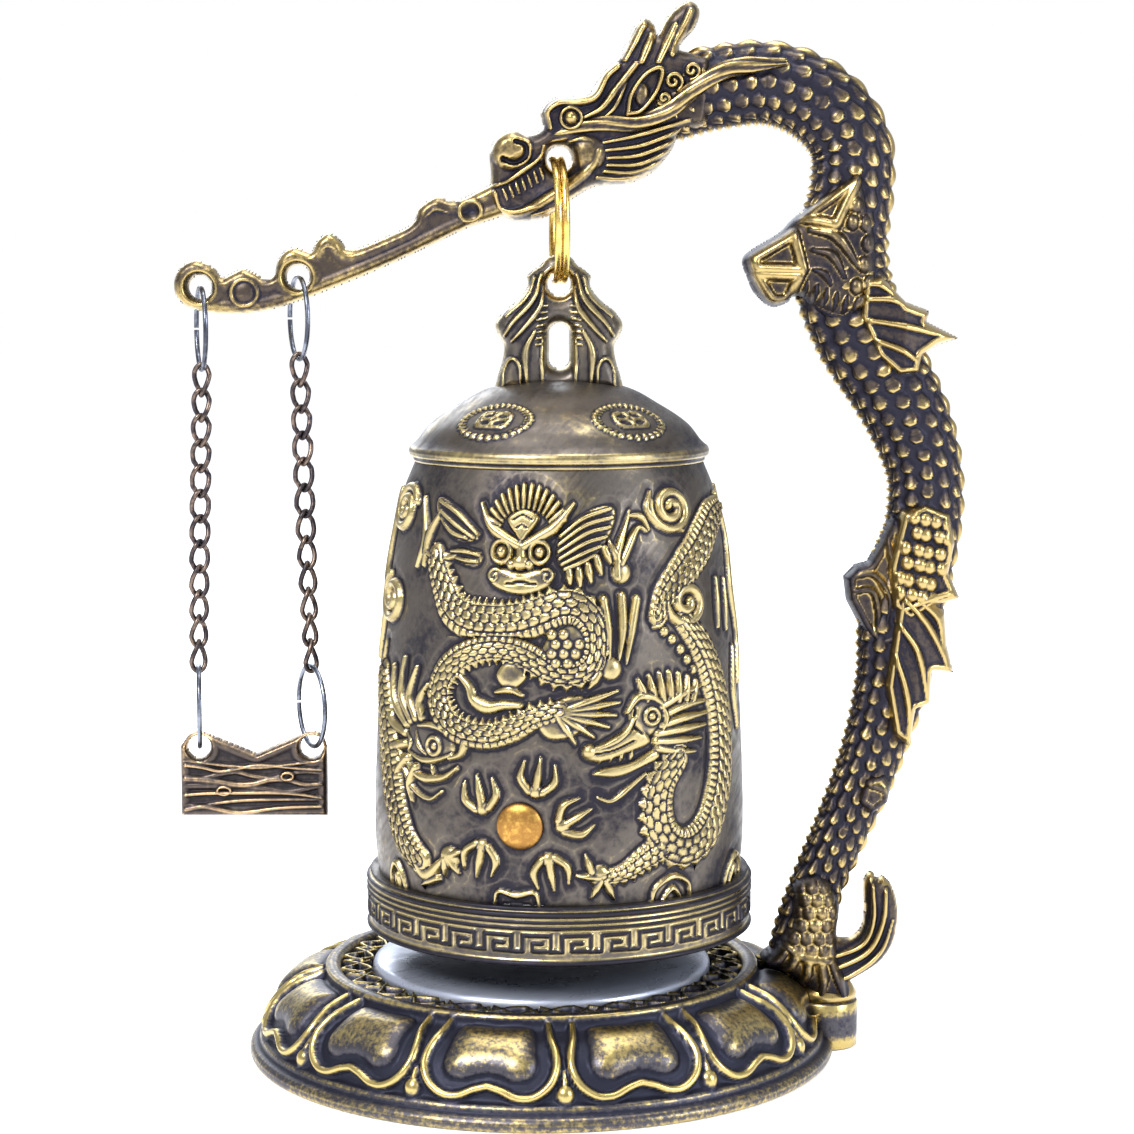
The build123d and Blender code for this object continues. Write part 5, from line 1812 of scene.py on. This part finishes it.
# %% The tail hook
TAIL = smooth_line([
    (34.0, 11.4), (35.6, 14.6), (38.0, 17.0), (39.6, 15.8), (40.6, 14.8), (42.3, 15.0),
    (43.5, 16.6), (43.8, 19.2), (43.6, 22.2), (44.1, 23.7), (44.9, 24.0), (45.6, 23.1), (46.3, 23.4),
    (47.3, 22.6), (48.2, 20.4), (48.5, 17.8), (47.9, 14.2), (46.0, 11.4), (43.0, 9.4), (40.6, 8.0),
    (38.6, 7.0), (34.4, 8.2),
], closed=True)


def tail_relief(relief, depth):
    """Parallel ribs that follow the hook."""
    relief.stroke([(36.0, 10.2), (40.6, 11.4), (44.4, 13.6), (46.2, 17.4), (46.6, 21.8)], 1.0, 0.85,
                  ends=(0.7, 0.6))
    relief.stroke([(36.4, 12.0), (40.4, 13.0), (43.6, 14.6), (44.9, 17.8), (44.8, 22.4)], 1.0, 0.85,
                  ends=(0.7, 0.6))
    relief.stroke([(38.4, 8.6), (42.6, 10.4), (46.0, 13.4), (47.6, 17.6)], 0.9, 0.75, ends=(0.7, 0.4))


build = cast_plate(TAIL, [], cell=0.2, thickness=4.6, edge=1.7, draw=tail_relief)
finish_piece(
    "dragon_tail", build, "stand", "dragon_brass", dragon_finish,
    base=0.38, gain=(2.4, 1.2), proud=0.50,
)

# %% The foot
FOOT = smooth_line([
    (34.2, 23.0), (33.7, 18.8), (32.5, 16.2), (31.5, 13.9), (29.8, 12.5), (30.4, 11.3),
    (32.6, 10.4), (35.4, 8.6), (37.4, 6.8), (42.2, 6.6), (41.6, 9.6), (40.4, 12.4), (40.2, 16.4),
    (40.4, 20.0), (38.0, 24.6),
], closed=True)


def foot_relief(relief, depth):
    """Scales that run down to a collar, and short locks of fur spread on the lotus."""
    for row in range(6):
        for column in range(4):
            x = 34.6 + 1.75 * column - 0.18 * row + 0.85 * (row % 2)
            z = 22.6 - 1.75 * row
            relief.ball((x, z), 1.05, 0.95, squash=1.05)
    relief.stroke([(32.6, 14.6), (35.6, 12.9), (38.6, 12.6), (40.4, 13.0)], 1.5, 1.1, ends=(0.7, 0.7))
    for lock in (
        [(32.6, 13.6), (31.7, 12.6), (30.8, 12.0)], [(34.2, 12.8), (33.6, 11.6), (32.6, 10.9)],
        [(36.0, 12.2), (35.9, 10.6), (35.2, 9.4)], [(37.8, 12.0), (38.1, 9.8), (37.8, 7.6)],
        [(39.4, 12.2), (40.2, 10.0), (40.8, 7.6)],
    ):
        relief.stroke(lock, 1.5, 1.1, ends=(1.0, 0.5))


build = cast_plate(FOOT, [], cell=0.2, thickness=8.2, edge=2.4, draw=foot_relief)
finish_piece(
    "dragon_foot", build, "stand", "dragon_brass", dragon_finish,
    base=0.36, gain=(2.4, 1.2), proud=0.50,
)

# %% The peg and its seat on the lotus
PEG = [(0, 2.95), (2.45, 2.95), (2.45, 6.6), (4.0, 6.6), (4.1, 7.4), (3.2, 8.8), (0, 9.6)]
build = lathe(PEG, SOCKET_X, 64)
finish_piece("dragon_peg", build, "stand", "dragon_brass", dragon_finish, base=0.42, gain=(2.0, 0.8))

# %% [markdown]
# ## The striker
# The striker is a little board cut like a log, hung by two ears. Its grain is a few deep wavering
# lines and two knots. It is a cast plate, and its grain comes from sums of sines instead of random
# numbers, so that every run gives the same board.

# %% The outline of the striker
striker_low, striker_high = node_box("striker")
left, right = striker_low[0], striker_high[0]
bottom = striker_low[2]
EAR_Z = pivot["striker_tilt"][2]
LEFT_EAR_X = pivot["left_ring_level"][0]
RIGHT_EAR_X = pivot["right_ring_level"][0]
EAR_R = 2.1
EAR_HOLE_R = 1.5
middle_x = (left + right) / 2
BOARD = np.vstack([
    [(left, bottom), (right, bottom), (right, EAR_Z - 0.6)],
    smooth_line([
        (RIGHT_EAR_X + EAR_R, EAR_Z), (RIGHT_EAR_X + 1.4, EAR_Z + 1.6), (RIGHT_EAR_X, EAR_Z + EAR_R),
        (RIGHT_EAR_X - 1.9, EAR_Z + 1.5),
    ]),
    [(middle_x + 0.4, EAR_Z - 0.9)],
    smooth_line([
        (LEFT_EAR_X + 1.9, EAR_Z + 1.5), (LEFT_EAR_X, EAR_Z + EAR_R), (LEFT_EAR_X - 1.4, EAR_Z + 1.6),
        (left, EAR_Z),
    ]),
])
print("striker:", round(right - left, 1), "mm wide, ears", round(RIGHT_EAR_X - LEFT_EAR_X, 1), "mm apart")


# %% The striker's board
def log_grain(relief, depth):
    """A raised border and wavering grooves, with a knot."""
    relief.rise += 0.35 * np.clip(1 - (depth / 0.7 - 1) ** 2, 0, 1)
    top = EAR_Z - 2.2
    for number, share in enumerate(np.linspace(0.02, 0.98, 7)):
        z = bottom + 0.9 + share * (top - bottom - 1.4)
        line = []
        for step in np.linspace(0, 1, 9):
            waver = sin(number * 2.4 + 7.3 * step + 2 * sin(3 * step + number))
            line.append((left + 0.8 + step * (right - left - 1.6), z + 0.42 * waver))
        relief.stroke(line, 0.85 + 0.25 * sin(5.0 * number), 0.55 + 0.12 * cos(3.0 * number), ends=(1, 0.7))
    relief.ring((middle_x - 4.0, bottom + 3.6), 0.9, 0.5, 0.75, squash=0.6)
    relief.ring((middle_x + 4.6, bottom + 5.6), 0.8, 0.5, 0.75, squash=0.6)
    relief.stroke([(left + 0.6, top + 0.4), (middle_x, top - 0.5), (right - 0.6, top + 0.4)], 0.8, 0.6)
    for ear_x in (LEFT_EAR_X, RIGHT_EAR_X):
        relief.ring((ear_x, EAR_Z), 1.9, 0.5, 0.3)


ear_holes = [((LEFT_EAR_X, EAR_Z), EAR_HOLE_R), ((RIGHT_EAR_X, EAR_Z), EAR_HOLE_R)]
build = cast_plate(BOARD, ear_holes, cell=0.15, thickness=2.1, edge=0.5, draw=log_grain)
finish_piece(
    "striker_board", build, "striker", "striker_brass", striker_finish, replaces=("striker",),
    base=0.36, gain=(2.4, 1.2), proud=0.35,
)


# %% [markdown]
# ## Rings, links and screw
# The rings and links are bent wire. Their shapes are already right in the CAD model, so the CAD
# nodes stay and only get a finish: bright metal, darker oxide in patches, and fine scratches. The
# split ring is gilt, the jump rings are steel, and the chains are browned.


# %% A maker of wire finishes
SCRATCH_SCALE = 2600.0
PATCH_EDGE = 0.14


def wire_metal(name, bright, dark, roughness, scale, share):
    """Drawn wire: bright metal with dark oxide in patches and fine scratches."""
    made = bpy.data.materials.new(name)
    made.use_nodes = True
    tree = made.node_tree
    metal = tree.nodes["Principled BSDF"]
    metal.inputs["Metallic"].default_value = 1.0
    place = tree.nodes.new("ShaderNodeTexCoord").outputs["Object"]
    patches = noise_field(tree, place, scale, 3.0)
    fine = noise_field(tree, place, SCRATCH_SCALE, 2.0)
    aged = remap(tree, patches, share - PATCH_EDGE, share + PATCH_EDGE)
    link(tree, blend_colours(tree, aged, (*bright, 1), (*dark, 1)), metal.inputs["Base Color"])
    rough = remap(tree, fine, 0.3, 0.7, roughness - 0.08, roughness + 0.10)
    rough = maths(tree, "ADD", rough, maths(tree, "MULTIPLY", aged, 0.14))
    link(tree, rough, metal.inputs["Roughness"])
    dents = tree.nodes.new("ShaderNodeBump")
    dents.inputs["Strength"].default_value = 0.12
    dents.inputs["Distance"].default_value = DENT_DEPTH / 2
    link(tree, fine, dents.inputs["Height"])
    link(tree, dents.outputs[0], metal.inputs["Normal"])
    return made


# %% The rings, links and screw get their finishes
wire_finishes = {
    "bell_ring": wire_metal("gold_wire", (0.78, 0.55, 0.16), (0.50, 0.32, 0.09), 0.22, 500, 0.60),
    "ring": wire_metal("steel_wire", (0.22, 0.24, 0.29), (0.06, 0.065, 0.085), 0.26, 420, 0.50),
    "link": wire_metal("chain_wire", (0.17, 0.125, 0.10), (0.045, 0.038, 0.042), 0.32, 700, 0.48),
    "screw": wire_metal("screw_steel", (0.50, 0.50, 0.52), (0.22, 0.22, 0.24), 0.30, 600, 0.60),
}
for name, node_object in frame["nodes"].items():
    for word, finish in wire_finishes.items():
        if word in name:
            node_object.data.materials.clear()
            node_object.data.materials.append(finish)
            break
print("wire finishes:", list(wire_finishes))
